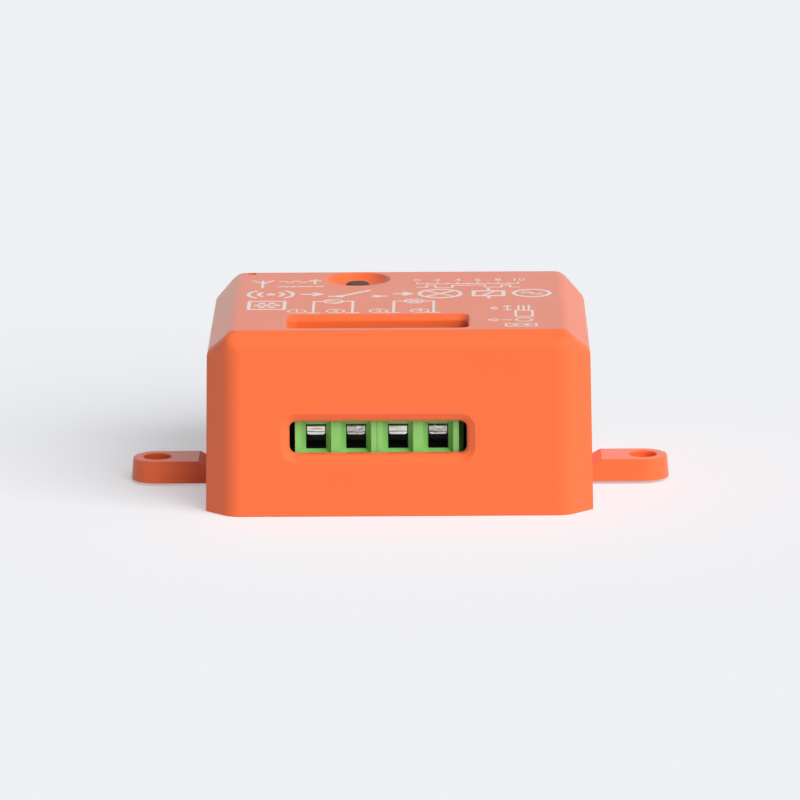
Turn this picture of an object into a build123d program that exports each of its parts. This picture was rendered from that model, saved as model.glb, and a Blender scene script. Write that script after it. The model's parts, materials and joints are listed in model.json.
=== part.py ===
from build123d import *

import os
from math import cos, radians, sin, sqrt, tan

# In-line mains relay module for smart homes: a small moulded box with two mounting ears.
# The wires enter through the slot in the front, and their screws are turned through the slot on top.
# Millimetres. +Z is up, -Y is the front with the wire entries, +X is to the right.
# The origin is at the middle of the footprint, on the surface that the module rests on.

os.makedirs("parts", exist_ok=True)

# Casing
body_width = 48.5
body_depth = 40.0
body_height = 23.4
wall = 1.6
draft_angle = 1.0
corner_cut = 3.2
side_bevel = 3.0
end_bevel = 1.5
upright_round = 3.2
shoulder_round = 1.7
top_rim_round = 0.4
foot_round = 0.2
rim_round = 0.25
ledge_round = 0.4
front_ledge_round = 0.6
ear_rim_round = 0.2
overshoot = 1.0
tolerance = 0.001

# Mounting ears
ear_reach = 6.75
ear_hole_radius = 1.75
ear_end_radius = 3.35
ear_bottom = 0.4
ear_thickness = 2.8
ear_draft = 5.0
groove_length = 1.5
groove_depth = 0.85

# Front slot for the wires, and the top slot over the screws
slot_x = -2.6
slot_z = 9.96
front_slot_width = 22.1
front_slot_height = 4.12
front_slot_corner = 0.9
front_lead_in = 1.05
front_lead_in_depth = 0.6
top_slot_width = 22.5
top_slot_depth = 7.5
top_slot_inset = 7.15
top_slot_corner = 1.2
top_slot_flare = 0.2
top_lead_in = 0.65
chute_wall = 1.0
chute_gap = 0.4

# Button, and the dish around it
button_x = -5.4
button_inset = 6.35
button_radius = 1.53
button_sink = 0.5
button_gap = 0.12
button_chamfer = 0.24
button_travel = 0.3
dish_radius = 4.2
dish_depth = 1.35
dish_floor = 1.0
dish_bulge = 0.35
dish_rim_round = 0.2

# Base plate
plate_thickness = 1.6
rebate = 0.6
plate_gap = 0.12
ridge_radius = 0.35
ridge_length = 8.0
ridge_offset = 9.0

# Main board
solder_room = 2.3
board_thickness = 1.6
board_gap = 0.4
board_corner = 1.6
post_inset_x = 3.35
post_inset_y = 5.1
post_radius = 1.2
pin_radius = 0.6
pin_reach = 1.4
pin_gap = 0.1
boss_radius = 1.3
lead_gap = 0.15
lead_reach = 0.8

# Screw terminals
terminals_x = -2.75
terminal_pitch = 5.0
block_margin = 0.2
block_joint_gap = 0.04
block_depth = 8.0
block_height = 10.0
block_front_gap = 0.4
block_chamfer = 1.3
block_skin = 1.4
rib_depth = 0.6
rib_length = 1.8
rib_gap = 0.1
rib_slope = 60.0
entry_width = 2.5
entry_height = 3.1
entry_drop = 0.4
mouth_margin = 0.65
mouth_depth = 1.3
cell_width = 3.6
cell_gap = 0.1
cell_head_room = 0.2
frame_sheet = 0.55
frame_nut = 1.2
frame_pin = 0.9
guard_width = 2.25
guard_sheet = 0.35
guard_lip = 1.35
guard_bend = 0.2
guard_corner = 0.5
guard_gap = 0.08
guard_travel = 1.5
screw_radius = 1.25
screw_gap = 0.05
screw_head_radius = 1.75
screw_head_height = 1.4
screw_recess_width = 0.6
screw_recess_depth = 0.8
screw_rim_chamfer = 0.2
well_gap = 0.18

# Relay
relay_inset = 8.4
relay_y = 0.7
relay_width = 10.1
relay_length = 17.6
relay_height = 12.5
relay_skin = 0.6
relay_base_height = 1.2
relay_fit = 0.1
relay_end_gap = 0.2
yoke_sheet = 0.8
yoke_width = 7.0
flange_radius = 3.9
flange_height = 0.6
barrel_radius = 2.0
coil_radius = 3.6
coil_height = 5.0
core_radius = 1.4
core_gap = 0.05
coil_gap = 0.2
pole_radius = 2.4
pole_height = 0.6
armature_swing = 3.0
armature_sheet = 0.8
armature_width = 6.6
armature_overlap = 0.8
armature_gap = 0.05
blade_sheet = 0.2
blade_width = 4.0
blade_end = 1.3
contact_radius = 1.1
contact_height = 0.9
bracket_sheet = 0.5
relay_pin_width = 0.9
relay_pin_sheet = 0.5

# Transformer
transformer_inset = 7.95
transformer_gap = 0.3
transformer_foot = 10.2
transformer_foot_height = 2.0
transformer_foot_round = 0.45
transformer_pin_inset = 1.1
core_width = 10.0
core_thickness = 4.6
core_height = 9.6
core_leg = 3.0
window_width = 2.3
window_height = 6.4
winding_depth = 9.0
winding_corner = 1.2
winding_gap = 0.1

# Upright cans: place on the board, radius and height
input_capacitor_x = -4.2
input_capacitor_y = -3.7
input_capacitor_radius = 4.0
input_capacitor_height = 10.0
filter_capacitor_gap = 0.15
filter_capacitor_y = -4.6
filter_capacitor_radius = 3.15
filter_capacitor_height = 10.0
output_capacitor_y = 2.6
output_capacitor_radius = 3.15
output_capacitor_height = 8.0
can_round = 0.5
can_groove = 0.25
can_groove_height = 1.6
can_lead_inset = 1.8

# Choke
choke_x = -4.4
choke_y = 5.4
choke_radius = 3.0
choke_height = 7.0
choke_flange = 1.0
choke_waist = 1.6
choke_winding = 2.6

# Surge and line filter parts
varistor_gap = 0.15
varistor_radius = 3.0
varistor_thickness = 3.2
varistor_round = 1.3
varistor_lift = 1.0
varistor_lead_spread = 1.8
fuse_inset_x = 6.35
fuse_inset_y = 4.1
fuse_radius = 1.2
fuse_height = 6.0
fuse_lift = 0.8
fuse_collar = 1.4
fuse_waist = 1.0
fuse_lead_pitch = 1.9
film_inset = 9.25
film_gap = 0.3
film_length = 9.0
film_width = 5.0
film_height = 10.5
film_round = 0.4
film_lead_inset = 0.95
lead_radius = 0.3

# Flat surface parts: the row is along the legs, across is the body between the two rows of legs,
# and the span is over the legs
rectifier_x = 8.0
rectifier_inset = 6.0
rectifier_row = 4.7
rectifier_across = 3.9
rectifier_height = 2.4
rectifier_span = 6.8
rectifier_pitch = 2.5
regulator_x = 1.9
regulator_inset = 5.1
regulator_row = 4.5
regulator_across = 2.5
regulator_height = 1.5
regulator_span = 4.2
regulator_pitch = 1.5
controller_x = 8.0
controller_y = -4.6
controller_row = 4.9
controller_across = 3.9
controller_height = 1.5
controller_span = 6.0
controller_pitch = 1.27
driver_row = 2.9
driver_across = 1.3
driver_height = 1.0
driver_span = 2.4
driver_pitch = 1.9
diode_inset_x = 7.05
diode_inset_y = 6.0
diode_row = 2.6
diode_across = 3.4
diode_height = 2.1
diode_span = 5.0
chip_leg_width = 0.5
diode_leg_width = 1.4
chip_lift = 0.1
leg_sheet = 0.2

# Radio module and aerial
radio_boss_gap = 0.15
radio_aerial_gap = 0.2
radio_width = 8.0
radio_length = 11.6
radio_sheet = 0.8
shield_width = 6.8
shield_length = 7.8
shield_height = 1.8
shield_sheet = 0.2
shield_y_shift = -1.4
radio_chip_size = 4.0
radio_chip_height = 0.9
aerial_inset_x = 5.05
aerial_inset_y = 2.7
aerial_radius = 0.5
aerial_gap = 0.12
aerial_sink = 0.5
aerial_hole_depth = 3.0

# Key switch under the button
key_size = 6.0
key_height = 3.3
key_cover_sheet = 0.25
key_tab = 2.0
key_fit = 0.02
dome_radius = 2.2
dome_rise = 0.5
dome_sheet = 0.1
cavity_radius = 2.4
foot_radius = 2.0
foot_height = 0.7
key_leg_sheet = 0.3
key_leg_width = 0.7
key_leg_spread = 4.5

# Values worked out from the ones above
lean = tan(radians(draft_angle))
half_width = body_width / 2
half_depth = body_depth / 2
top_slot_y = top_slot_inset - half_depth
button_y = half_depth - button_inset
ear_top = ear_bottom + ear_thickness
ear_x = half_width + ear_reach
aerial_x = aerial_inset_x - half_width
aerial_y = half_depth - aerial_inset_y
radio_y = aerial_y - aerial_radius - radio_aerial_gap - radio_length / 2
transformer_x = transformer_inset - half_width
transformer_y = radio_y - radio_length / 2 - transformer_gap - transformer_foot / 2
varistor_x = transformer_x
varistor_y = transformer_y - transformer_foot / 2 - varistor_gap - varistor_thickness / 2
fuse_x = fuse_inset_x - half_width
fuse_y = fuse_inset_y - half_depth
film_x = half_width - film_inset
film_y = relay_y - relay_length / 2 - film_gap - film_width / 2
filter_capacitor_x = (
    input_capacitor_x + input_capacitor_radius + filter_capacitor_gap + filter_capacitor_radius
)
board_bottom = plate_thickness + solder_room
board_top = board_bottom + board_thickness
lead_bottom = board_bottom - lead_reach
board_half_x = half_width - wall - board_top * lean - board_gap
board_half_y = half_depth - wall - board_top * lean - board_gap
post_x = half_width - post_inset_x
post_y = half_depth - post_inset_y
radio_x = boss_radius + radio_boss_gap + radio_width / 2 - post_x
ceiling = body_height - wall
block_top = board_top + block_height
chute_bottom = block_top + chute_gap
block_front = -(half_depth - wall - block_front_gap)
block_back = block_front + block_depth
cell_front = block_front + block_skin
cell_back = block_back - block_skin
screw_y = (cell_front + cell_back) / 2
entry_z = slot_z - entry_drop
entry_top = entry_z + entry_height / 2
entry_bottom = entry_z - entry_height / 2
block_width = 2 * terminal_pitch + block_margin
block_spacing = block_width + block_joint_gap
block_places = {"left": terminals_x - block_spacing / 2, "right": terminals_x + block_spacing / 2}
pole_places = [x + step * terminal_pitch / 2 for x in block_places.values() for step in (-1, 1)]
relay_bottom = board_top + relay_base_height
relay_x = half_width - relay_inset
relay_end = relay_length / 2 - relay_skin - relay_end_gap
yoke_leg_y = relay_y + relay_end - yoke_sheet
coil_y = yoke_leg_y - coil_gap - flange_radius
bobbin_bottom = relay_bottom + yoke_sheet
bobbin_top = bobbin_bottom + coil_height + 2 * flange_height
pole_top = bobbin_top + pole_height
pole_reach = yoke_leg_y - coil_y + pole_radius
armature_bottom = pole_top + pole_reach * sin(radians(armature_swing)) + armature_gap
armature_top = armature_bottom + armature_sheet
bracket_y = relay_y - relay_end
contact_y = bracket_y + 2 * bracket_sheet + contact_radius
contact_reach = yoke_leg_y - contact_y
contact_drop = (contact_reach + contact_radius) * sin(radians(armature_swing)) + 2 * armature_gap
fixed_contact_top = armature_top - contact_height - contact_drop
button_top = body_height - button_sink
key_top = board_top + key_height
dome_base = board_top + key_height - key_cover_sheet - foot_height - dome_rise - dome_sheet - 2 * key_fit
cavity_floor = dome_base - key_fit
hole_radius = button_radius + button_gap


def casing_block(inset):
    """Give the casing's block as one solid, with every plane moved in by inset."""
    reach = sqrt(2) * inset
    top = body_height - inset
    side_edge = half_width + (body_height - side_bevel) * (1 - lean) - reach
    end_edge = half_depth + (body_height - end_bevel) * (1 - lean) - reach
    with BuildPart() as block:
        with BuildSketch(Plane.XY):
            Rectangle(2 * (half_width - inset), 2 * (half_depth - inset))
            chamfer(vertices(), corner_cut - 2 * inset + reach)
        extrude(amount=body_height + overshoot, taper=draft_angle)
        with BuildSketch(Plane.XZ):
            with BuildLine():
                Polyline(gable_corners(side_edge, top), close=True)
            make_face()
        extrude(amount=body_depth, both=True, mode=Mode.INTERSECT)
        with BuildSketch(Plane.YZ):
            with BuildLine():
                Polyline(gable_corners(end_edge, top + overshoot), close=True)
            make_face()
        extrude(amount=body_width, both=True, mode=Mode.INTERSECT)
    return block.part


def gable_corners(edge, top):
    """Give the corners of an outline whose sides slope in at 45 degrees under a flat top."""
    return [
        (-edge - overshoot, -overshoot),
        (edge + overshoot, -overshoot),
        (edge - top, top),
        (top - edge, top),
    ]


def casing_plan(inset):
    """Give the casing's plan at its open bottom as a sketch, moved in by inset."""
    with BuildSketch(Plane.XY) as plan:
        Rectangle(2 * (half_width - inset), 2 * (half_depth - inset))
        chamfer(vertices(), corner_cut - (2 - sqrt(2)) * inset)
    return plan.sketch


def ridge_places():
    """Give the places of the snap ridges along the base plate's two long and two short sides."""
    edge_x = half_width - wall + rebate - plate_gap
    edge_y = half_depth - wall + rebate - plate_gap
    height = plate_thickness / 2
    sides = [Location((side * edge_x, step * ridge_offset, height), (90, 0, 0))
             for side in (-1, 1) for step in (-1, 1)]
    ends = [Location((0, side * edge_y, height), (0, 90, 0)) for side in (-1, 1)]
    return sides + ends


def rim_edges(part, plane, width, height, depth=0):
    """Give the part's edges that lie at a depth below a plane, within a window around its origin."""
    picked = []
    for edge in part.edges():
        corners = [plane.to_local_coords(vertex.center()) for vertex in edge.vertices()]
        level = all(abs(corner.Z + depth) < tolerance for corner in corners)
        middle = plane.to_local_coords(edge @ 0.5)
        inside = abs(middle.X) < width / 2 + tolerance and abs(middle.Y) < height / 2 + tolerance
        if level and inside and abs(middle.Z + depth) < tolerance:
            picked.append(edge)
    return picked


# Casing's outer form, with its uprights and shoulders rounded
with BuildPart() as outer_form:
    add(casing_block(0))
    near_end = half_depth - corner_cut / 2
    uprights = edges().filter_by(lambda edge: abs(edge.tangent_at(0.5).Z) > abs(edge.tangent_at(0.5).X))
    uprights = uprights.filter_by(lambda edge: abs(edge.center().Y) > near_end)
    fillet(uprights.filter_by(lambda edge: edge.length > body_height / 2), upright_round)
    shoulders = edges().filter_by(lambda edge: edge.center().Z > body_height - side_bevel - end_bevel)
    top_rim = faces().sort_by(Axis.Z)[-1].edges().sort_by(Axis.Y)
    end_rims = [top_rim[0], top_rim[-1]]
    fillet([edge for edge in shoulders if edge not in end_rims], shoulder_round)
    top_rim = faces().sort_by(Axis.Z)[-1].edges().sort_by(Axis.Y)
    fillet([top_rim[0], top_rim[-1]], top_rim_round)

# Casing shell with its ears
inner_block = casing_block(wall)
rebate_plan = casing_plan(wall - rebate)
plate_plan = casing_plan(wall - rebate + plate_gap)
slot_plane = Plane(origin=(slot_x, top_slot_y, body_height))
dish_bottom = body_height - dish_depth

with BuildPart() as casing:
    add(outer_form.part)
    add(inner_block, mode=Mode.SUBTRACT)

    # Rebate and grooves for the base plate
    extrude(rebate_plan, amount=plate_thickness, taper=draft_angle, mode=Mode.SUBTRACT)
    with Locations(*ridge_places()):
        Cylinder(ridge_radius + plate_gap, ridge_length + 2 * plate_gap, mode=Mode.SUBTRACT)

    # Bosses that hold the board down on the base plate's posts, the chute and the dish's underside
    with BuildSketch(Plane.XY.offset(board_top)):
        with GridLocations(2 * post_x, 2 * post_y, 2, 2):
            Circle(boss_radius)
    extrude(amount=ceiling - board_top)
    with BuildSketch(slot_plane.offset(chute_bottom - body_height)):
        Rectangle(top_slot_width + 2 * chute_wall, top_slot_depth + 2 * chute_wall)
    extrude(amount=ceiling - chute_bottom)
    with BuildSketch(Plane((button_x, button_y, dish_bottom - dish_floor))):
        Circle(dish_radius + dish_floor)
    extrude(amount=ceiling - dish_bottom + dish_floor)
    add(outer_form.part, mode=Mode.INTERSECT)
    with BuildSketch(Plane.XY.offset(board_top)):
        with GridLocations(2 * post_x, 2 * post_y, 2, 2):
            Circle(pin_radius + pin_gap)
    extrude(amount=pin_reach + pin_gap, mode=Mode.SUBTRACT)

    # Front slot with its sloping lead-in
    front_face = Plane(
        origin=(slot_x, slot_z * lean - half_depth, slot_z),
        x_dir=(1, 0, 0),
        z_dir=(0, -cos(radians(draft_angle)), sin(radians(draft_angle))),
    )
    with BuildSketch(front_face):
        RectangleRounded(
            front_slot_width + 2 * front_lead_in,
            front_slot_height + 2 * front_lead_in,
            front_slot_corner + front_lead_in,
        )
    with BuildSketch(front_face.offset(-front_lead_in_depth)):
        RectangleRounded(front_slot_width, front_slot_height, front_slot_corner)
    loft(mode=Mode.SUBTRACT)
    with BuildSketch(front_face):
        RectangleRounded(front_slot_width, front_slot_height, front_slot_corner)
    extrude(amount=-(wall + overshoot), mode=Mode.SUBTRACT)

    # Top slot with its lead-in, down the chute to the screws
    with BuildSketch(slot_plane):
        with Locations((0, (top_lead_in - top_slot_flare) / 2)):
            RectangleRounded(
                top_slot_width + 2 * top_slot_flare,
                top_slot_depth + top_slot_flare + top_lead_in,
                top_slot_corner,
            )
    with BuildSketch(slot_plane.offset(-top_lead_in)):
        RectangleRounded(top_slot_width, top_slot_depth, top_slot_corner)
    loft(mode=Mode.SUBTRACT)
    with BuildSketch(slot_plane):
        RectangleRounded(top_slot_width, top_slot_depth, top_slot_corner)
    extrude(amount=chute_bottom - body_height, mode=Mode.SUBTRACT)

    # Dish and hole for the button
    with BuildSketch(Plane(origin=(button_x, button_y, body_height), x_dir=(1, 0, 0), z_dir=(0, -1, 0))):
        with BuildLine():
            rim = (dish_radius, 0)
            hollow = (hole_radius, -dish_depth)
            middle = ((rim[0] + hollow[0]) / 2 + dish_bulge, (rim[1] + hollow[1]) / 2 - dish_bulge)
            ThreePointArc(rim, middle, hollow)
            Polyline(hollow, (0, -dish_depth), (0, 0), rim)
        make_face()
    revolve(axis=Axis((button_x, button_y, 0), (0, 0, 1)), mode=Mode.SUBTRACT)
    with BuildSketch(Plane((button_x, button_y, dish_bottom))):
        Circle(hole_radius)
    extrude(amount=-dish_floor, mode=Mode.SUBTRACT)

    # Hole for the aerial's tip
    with BuildSketch(Plane((aerial_x, aerial_y, body_height))):
        Circle(aerial_radius + aerial_gap)
    extrude(amount=-aerial_hole_depth, mode=Mode.SUBTRACT)

    # Ears, each with a snap-off groove at its root
    ear_root = half_width - wall / 2
    with BuildSketch(Plane.XY.offset(ear_bottom)):
        for side in (-1, 1):
            with Locations((side * (ear_root + ear_x) / 2, 0)):
                Rectangle(ear_x - ear_root, 2 * ear_end_radius)
            with Locations((side * ear_x, 0)):
                Circle(ear_end_radius)
    extrude(amount=ear_thickness, taper=ear_draft)
    with BuildSketch(Plane.XZ):
        for side in (-1, 1):
            with BuildLine():
                Polyline(
                    (side * (half_width - ear_top * lean), ear_top),
                    (side * (half_width - ear_top * lean + groove_length), ear_top),
                    (side * (half_width - (ear_top - groove_depth) * lean), ear_top - groove_depth),
                    close=True,
                )
            make_face()
    extrude(amount=ear_end_radius + overshoot, both=True, mode=Mode.SUBTRACT)
    with BuildSketch(Plane.XY):
        with GridLocations(2 * ear_x, 0, 2, 1):
            Circle(ear_hole_radius)
    extrude(amount=ear_top + overshoot, mode=Mode.SUBTRACT)

    # Small rounds on the rims of the slots, the dish and the ears, and round the foot
    top_rim_size = (top_slot_width + 2 * top_slot_flare, top_slot_depth + 2 * top_lead_in)
    front_rim_size = (front_slot_width + 2 * front_lead_in, front_slot_height + 2 * front_lead_in)
    fillet(rim_edges(casing.part, slot_plane, *top_rim_size), rim_round)
    fillet(rim_edges(casing.part, slot_plane, top_slot_width, top_slot_depth, top_lead_in), ledge_round)
    fillet(rim_edges(casing.part, front_face, *front_rim_size), rim_round)
    fillet(
        rim_edges(casing.part, front_face, front_slot_width, front_slot_height, front_lead_in_depth),
        front_ledge_round,
    )
    dish_plane = Plane((button_x, button_y, body_height))
    fillet(rim_edges(casing.part, dish_plane, 2 * dish_radius, 2 * dish_radius), dish_rim_round)
    for side in (-1, 1):
        ear_plane = Plane((side * (half_width + ear_reach / 2), 0, ear_top))
        ear_window = ear_reach + 2 * ear_end_radius
        fillet(rim_edges(casing.part, ear_plane, ear_window, ear_window), ear_rim_round)
    fillet(faces().sort_by(Axis.Z)[0].outer_wire().edges(), foot_round)
casing.part.label = "casing"
export_step(casing.part, "parts/casing.step")

# Base plate, snapped into the open bottom, with the board's posts
with BuildPart() as base_plate:
    extrude(plate_plan, amount=plate_thickness, taper=draft_angle)
    with Locations(*ridge_places()):
        Cylinder(ridge_radius, ridge_length)
    with BuildSketch(Plane.XY.offset(plate_thickness)):
        with GridLocations(2 * post_x, 2 * post_y, 2, 2):
            Circle(post_radius)
    extrude(amount=solder_room)
    with BuildSketch(Plane.XY.offset(board_bottom)):
        with GridLocations(2 * post_x, 2 * post_y, 2, 2):
            Circle(pin_radius)
    extrude(amount=board_thickness + pin_reach)
base_plate.part.label = "base_plate"
export_step(base_plate.part, "parts/base_plate.step")

# Screw terminals: two green housings, each with two poles
for side, block_x in block_places.items():
    poles = [block_x - terminal_pitch / 2, block_x + terminal_pitch / 2]
    rib_plane = Plane.XY.offset(board_top)
    with BuildPart() as terminal_housing:
        with BuildSketch(Plane.YZ.offset(block_x)):
            with BuildLine():
                Polyline(
                    (block_front, board_top),
                    (block_back, board_top),
                    (block_back, block_top),
                    (block_front + block_chamfer, block_top),
                    (block_front, block_top - block_chamfer),
                    close=True,
                )
            make_face()
        extrude(amount=block_width / 2, both=True)
        with BuildSketch(rib_plane):
            with Locations((block_x + block_width / 2, screw_y)):
                Trapezoid(rib_length + rib_depth, 2 * rib_depth, rib_slope, rotation=90)
        extrude(amount=block_height - block_chamfer)
        with BuildSketch(rib_plane):
            with Locations((block_x - block_width / 2, screw_y)):
                groove_size = (rib_length + rib_depth + 2 * rib_gap, 2 * rib_depth + rib_gap)
                Trapezoid(*groove_size, rib_slope, rotation=90)
        extrude(amount=block_height, mode=Mode.SUBTRACT)
        # Cells for the contact frames, open underneath, and wells for the screws
        with BuildSketch(Plane.XY.offset(board_top)):
            with Locations(*[(pole, screw_y) for pole in poles]):
                Rectangle(cell_width, cell_back - cell_front)
        extrude(amount=entry_top + cell_gap + frame_nut + cell_head_room - board_top, mode=Mode.SUBTRACT)
        with BuildSketch(Plane.XY.offset(block_top)):
            with Locations(*[(pole, screw_y) for pole in poles]):
                Circle(screw_head_radius + well_gap)
        extrude(amount=entry_top - block_top, mode=Mode.SUBTRACT)
        # Wire entries with funnel mouths
        for pole in poles:
            entry_plane = Plane(origin=(pole, block_front, entry_z), x_dir=(1, 0, 0), z_dir=(0, -1, 0))
            with BuildSketch(entry_plane):
                Rectangle(entry_width + 2 * mouth_margin, entry_height + 2 * mouth_margin)
            with BuildSketch(entry_plane.offset(-mouth_depth)):
                Rectangle(entry_width, entry_height)
            loft(mode=Mode.SUBTRACT)
            with BuildSketch(entry_plane):
                Rectangle(entry_width, entry_height)
            extrude(amount=-(block_skin + cell_gap), mode=Mode.SUBTRACT)
    terminal_housing.part.label = f"terminal_housing_{side}"
    export_step(terminal_housing.part, f"parts/terminal_housing_{side}.step")

    # Contact frames: a folded strip with a threaded top plate and a solder pin
    frame_front = cell_front + cell_gap
    frame_back = cell_back - cell_gap
    frame_bottom = entry_bottom - frame_sheet
    frame_nut_bottom = entry_top + cell_gap
    with BuildPart() as contact_frames:
        for pole in poles:
            with BuildSketch(Plane.YZ.offset(pole)):
                with BuildLine():
                    Polyline(
                        (frame_front, frame_bottom),
                        (frame_back, frame_bottom),
                        (frame_back, frame_nut_bottom + frame_nut),
                        (frame_front, frame_nut_bottom + frame_nut),
                        (frame_front, frame_nut_bottom),
                        (frame_back - frame_sheet, frame_nut_bottom),
                        (frame_back - frame_sheet, entry_bottom),
                        (frame_front, entry_bottom),
                        close=True,
                    )
                make_face()
        extrude(amount=cell_width / 2 - cell_gap, both=True)
        with BuildSketch(Plane.XY.offset(frame_nut_bottom)):
            with Locations(*[(pole, screw_y) for pole in poles]):
                Circle(screw_radius + screw_gap)
        extrude(amount=frame_nut, mode=Mode.SUBTRACT)
        with BuildSketch(Plane.XY.offset(frame_bottom)):
            with Locations(*[(pole, screw_y) for pole in poles]):
                Rectangle(frame_pin, frame_pin)
        extrude(amount=lead_bottom - frame_bottom)
    contact_frames.part.label = f"contact_frames_{side}"
    export_step(contact_frames.part, f"parts/contact_frames_{side}.step")

# Wire guards and screws, one pair for each pole, numbered from the left
guard_top = entry_top
guard_back = cell_back - cell_gap - frame_sheet - 2 * guard_gap
guard_front = cell_front + guard_gap
screw_tip = guard_top + screw_gap
head_bottom = entry_top + cell_gap + frame_nut + guard_travel + screw_gap
for number, pole in enumerate(pole_places, start=1):
    with BuildPart() as wire_guard:
        with BuildSketch(Plane.YZ.offset(pole)):
            with BuildLine():
                Polyline(
                    (guard_back, guard_top),
                    (guard_front, guard_top),
                    (guard_front, guard_top - guard_lip),
                    (guard_front + guard_sheet, guard_top - guard_lip),
                    (guard_front + guard_sheet, guard_top - guard_sheet),
                    (guard_back, guard_top - guard_sheet),
                    close=True,
                )
            make_face()
            outer_corner = (guard_front, guard_top)
            inner_corner = (guard_front + guard_sheet, guard_top - guard_sheet)
            fillet(vertices().sort_by_distance(outer_corner)[0], guard_bend + guard_sheet)
            fillet(vertices().sort_by_distance(inner_corner)[0], guard_bend)
        extrude(amount=guard_width / 2, both=True)
        lip_corners = edges().filter_by(Axis.Y).group_by(Axis.Z)[0]
        fillet(lip_corners, guard_corner)
    wire_guard.part.label = f"wire_guard_{number}"
    export_step(wire_guard.part, f"parts/wire_guard_{number}.step")

    with BuildPart() as terminal_screw:
        with BuildSketch(Plane((pole, screw_y, screw_tip))):
            Circle(screw_radius)
        extrude(amount=head_bottom - screw_tip)
        with BuildSketch(Plane((pole, screw_y, head_bottom))):
            Circle(screw_head_radius)
        extrude(amount=screw_head_height)
        chamfer(edges().group_by(Axis.Z)[-1], screw_rim_chamfer)
        with BuildSketch(Plane((pole, screw_y, head_bottom + screw_head_height))):
            Rectangle(2 * screw_head_radius, screw_recess_width)
            Rectangle(screw_recess_width, 2 * screw_radius)
        extrude(amount=-screw_recess_depth, mode=Mode.SUBTRACT)
    terminal_screw.part.label = f"terminal_screw_{number}"
    export_step(terminal_screw.part, f"parts/terminal_screw_{number}.step")

# Relay base, with its pins through the board
relay_room_x = relay_width - 2 * relay_skin
relay_room_y = relay_length - 2 * relay_skin
relay_pins = [
    (relay_x - relay_room_x / 2 + relay_pin_width, coil_y + flange_radius),
    (relay_x + relay_room_x / 2 - relay_pin_width, coil_y + flange_radius),
    (relay_x - relay_room_x / 2 + relay_pin_width, coil_y - flange_radius),
    (relay_x + relay_room_x / 2 - relay_pin_width, coil_y - flange_radius),
]
with BuildPart() as relay_base:
    with BuildSketch(Plane((relay_x, relay_y, board_top))):
        Rectangle(relay_room_x - 2 * relay_fit, relay_room_y - 2 * relay_fit)
    extrude(amount=relay_base_height)
relay_base.part.label = "relay_base"
export_step(relay_base.part, "parts/relay_base.step")

with BuildPart() as relay_terminals:
    with BuildSketch(Plane.XY.offset(board_top)):
        with Locations(*relay_pins):
            Rectangle(relay_pin_width, relay_pin_sheet)
    extrude(amount=lead_bottom - board_top)
relay_terminals.part.label = "relay_terminals"
export_step(relay_terminals.part, "parts/relay_terminals.step")

with BuildPart() as relay_cover:
    with BuildSketch(Plane((relay_x, relay_y, board_top))):
        RectangleRounded(relay_width, relay_length, relay_skin)
    extrude(amount=relay_height)
    fillet(faces().sort_by(Axis.Z)[-1].edges(), relay_skin)
    with BuildSketch(Plane((relay_x, relay_y, board_top))):
        Rectangle(relay_room_x, relay_room_y)
    extrude(amount=relay_height - relay_skin, mode=Mode.SUBTRACT)
relay_cover.part.label = "relay_cover"
export_step(relay_cover.part, "parts/relay_cover.step")

# Relay magnet: yoke, core with its pole face, bobbin and coil
with BuildPart() as relay_yoke:
    with BuildSketch(Plane.YZ.offset(relay_x)):
        with BuildLine():
            Polyline(
                (coil_y - flange_radius, relay_bottom),
                (yoke_leg_y + yoke_sheet, relay_bottom),
                (yoke_leg_y + yoke_sheet, armature_bottom - core_gap),
                (yoke_leg_y, armature_bottom - core_gap),
                (yoke_leg_y, relay_bottom + yoke_sheet),
                (coil_y - flange_radius, relay_bottom + yoke_sheet),
                close=True,
            )
        make_face()
    extrude(amount=yoke_width / 2, both=True)
relay_yoke.part.label = "relay_yoke"
export_step(relay_yoke.part, "parts/relay_yoke.step")

with BuildPart() as relay_core:
    with BuildSketch(Plane((relay_x, coil_y, bobbin_bottom))):
        Circle(core_radius)
    extrude(amount=bobbin_top - bobbin_bottom)
    with BuildSketch(Plane((relay_x, coil_y, bobbin_top))):
        Circle(pole_radius)
    extrude(amount=pole_height)
relay_core.part.label = "relay_core"
export_step(relay_core.part, "parts/relay_core.step")

with BuildPart() as relay_bobbin:
    with BuildSketch(Plane((relay_x, coil_y, bobbin_bottom))):
        Circle(barrel_radius)
    extrude(amount=bobbin_top - bobbin_bottom)
    with BuildSketch(
        Plane((relay_x, coil_y, bobbin_bottom)), Plane((relay_x, coil_y, bobbin_top - flange_height))
    ):
        Circle(flange_radius)
    extrude(amount=flange_height)
    with BuildSketch(Plane((relay_x, coil_y, bobbin_bottom))):
        Circle(core_radius + core_gap)
    extrude(amount=bobbin_top - bobbin_bottom, mode=Mode.SUBTRACT)
relay_bobbin.part.label = "relay_bobbin"
export_step(relay_bobbin.part, "parts/relay_bobbin.step")

with BuildPart() as relay_coil:
    with BuildSketch(Plane((relay_x, coil_y, bobbin_bottom + flange_height))):
        Circle(coil_radius)
        Circle(barrel_radius, mode=Mode.SUBTRACT)
    extrude(amount=coil_height)
relay_coil.part.label = "relay_coil"
export_step(relay_coil.part, "parts/relay_coil.step")

# Relay armature, which tips on the yoke's edge, and the contact blade that it carries
with BuildPart() as relay_armature:
    armature_back = yoke_leg_y + armature_overlap
    armature_front = coil_y - pole_radius - armature_overlap
    with BuildSketch(Plane((relay_x, (armature_back + armature_front) / 2, armature_bottom))):
        Rectangle(armature_width, armature_back - armature_front)
    extrude(amount=armature_sheet)
relay_armature.part.label = "relay_armature"
export_step(relay_armature.part, "parts/relay_armature.step")

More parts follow.
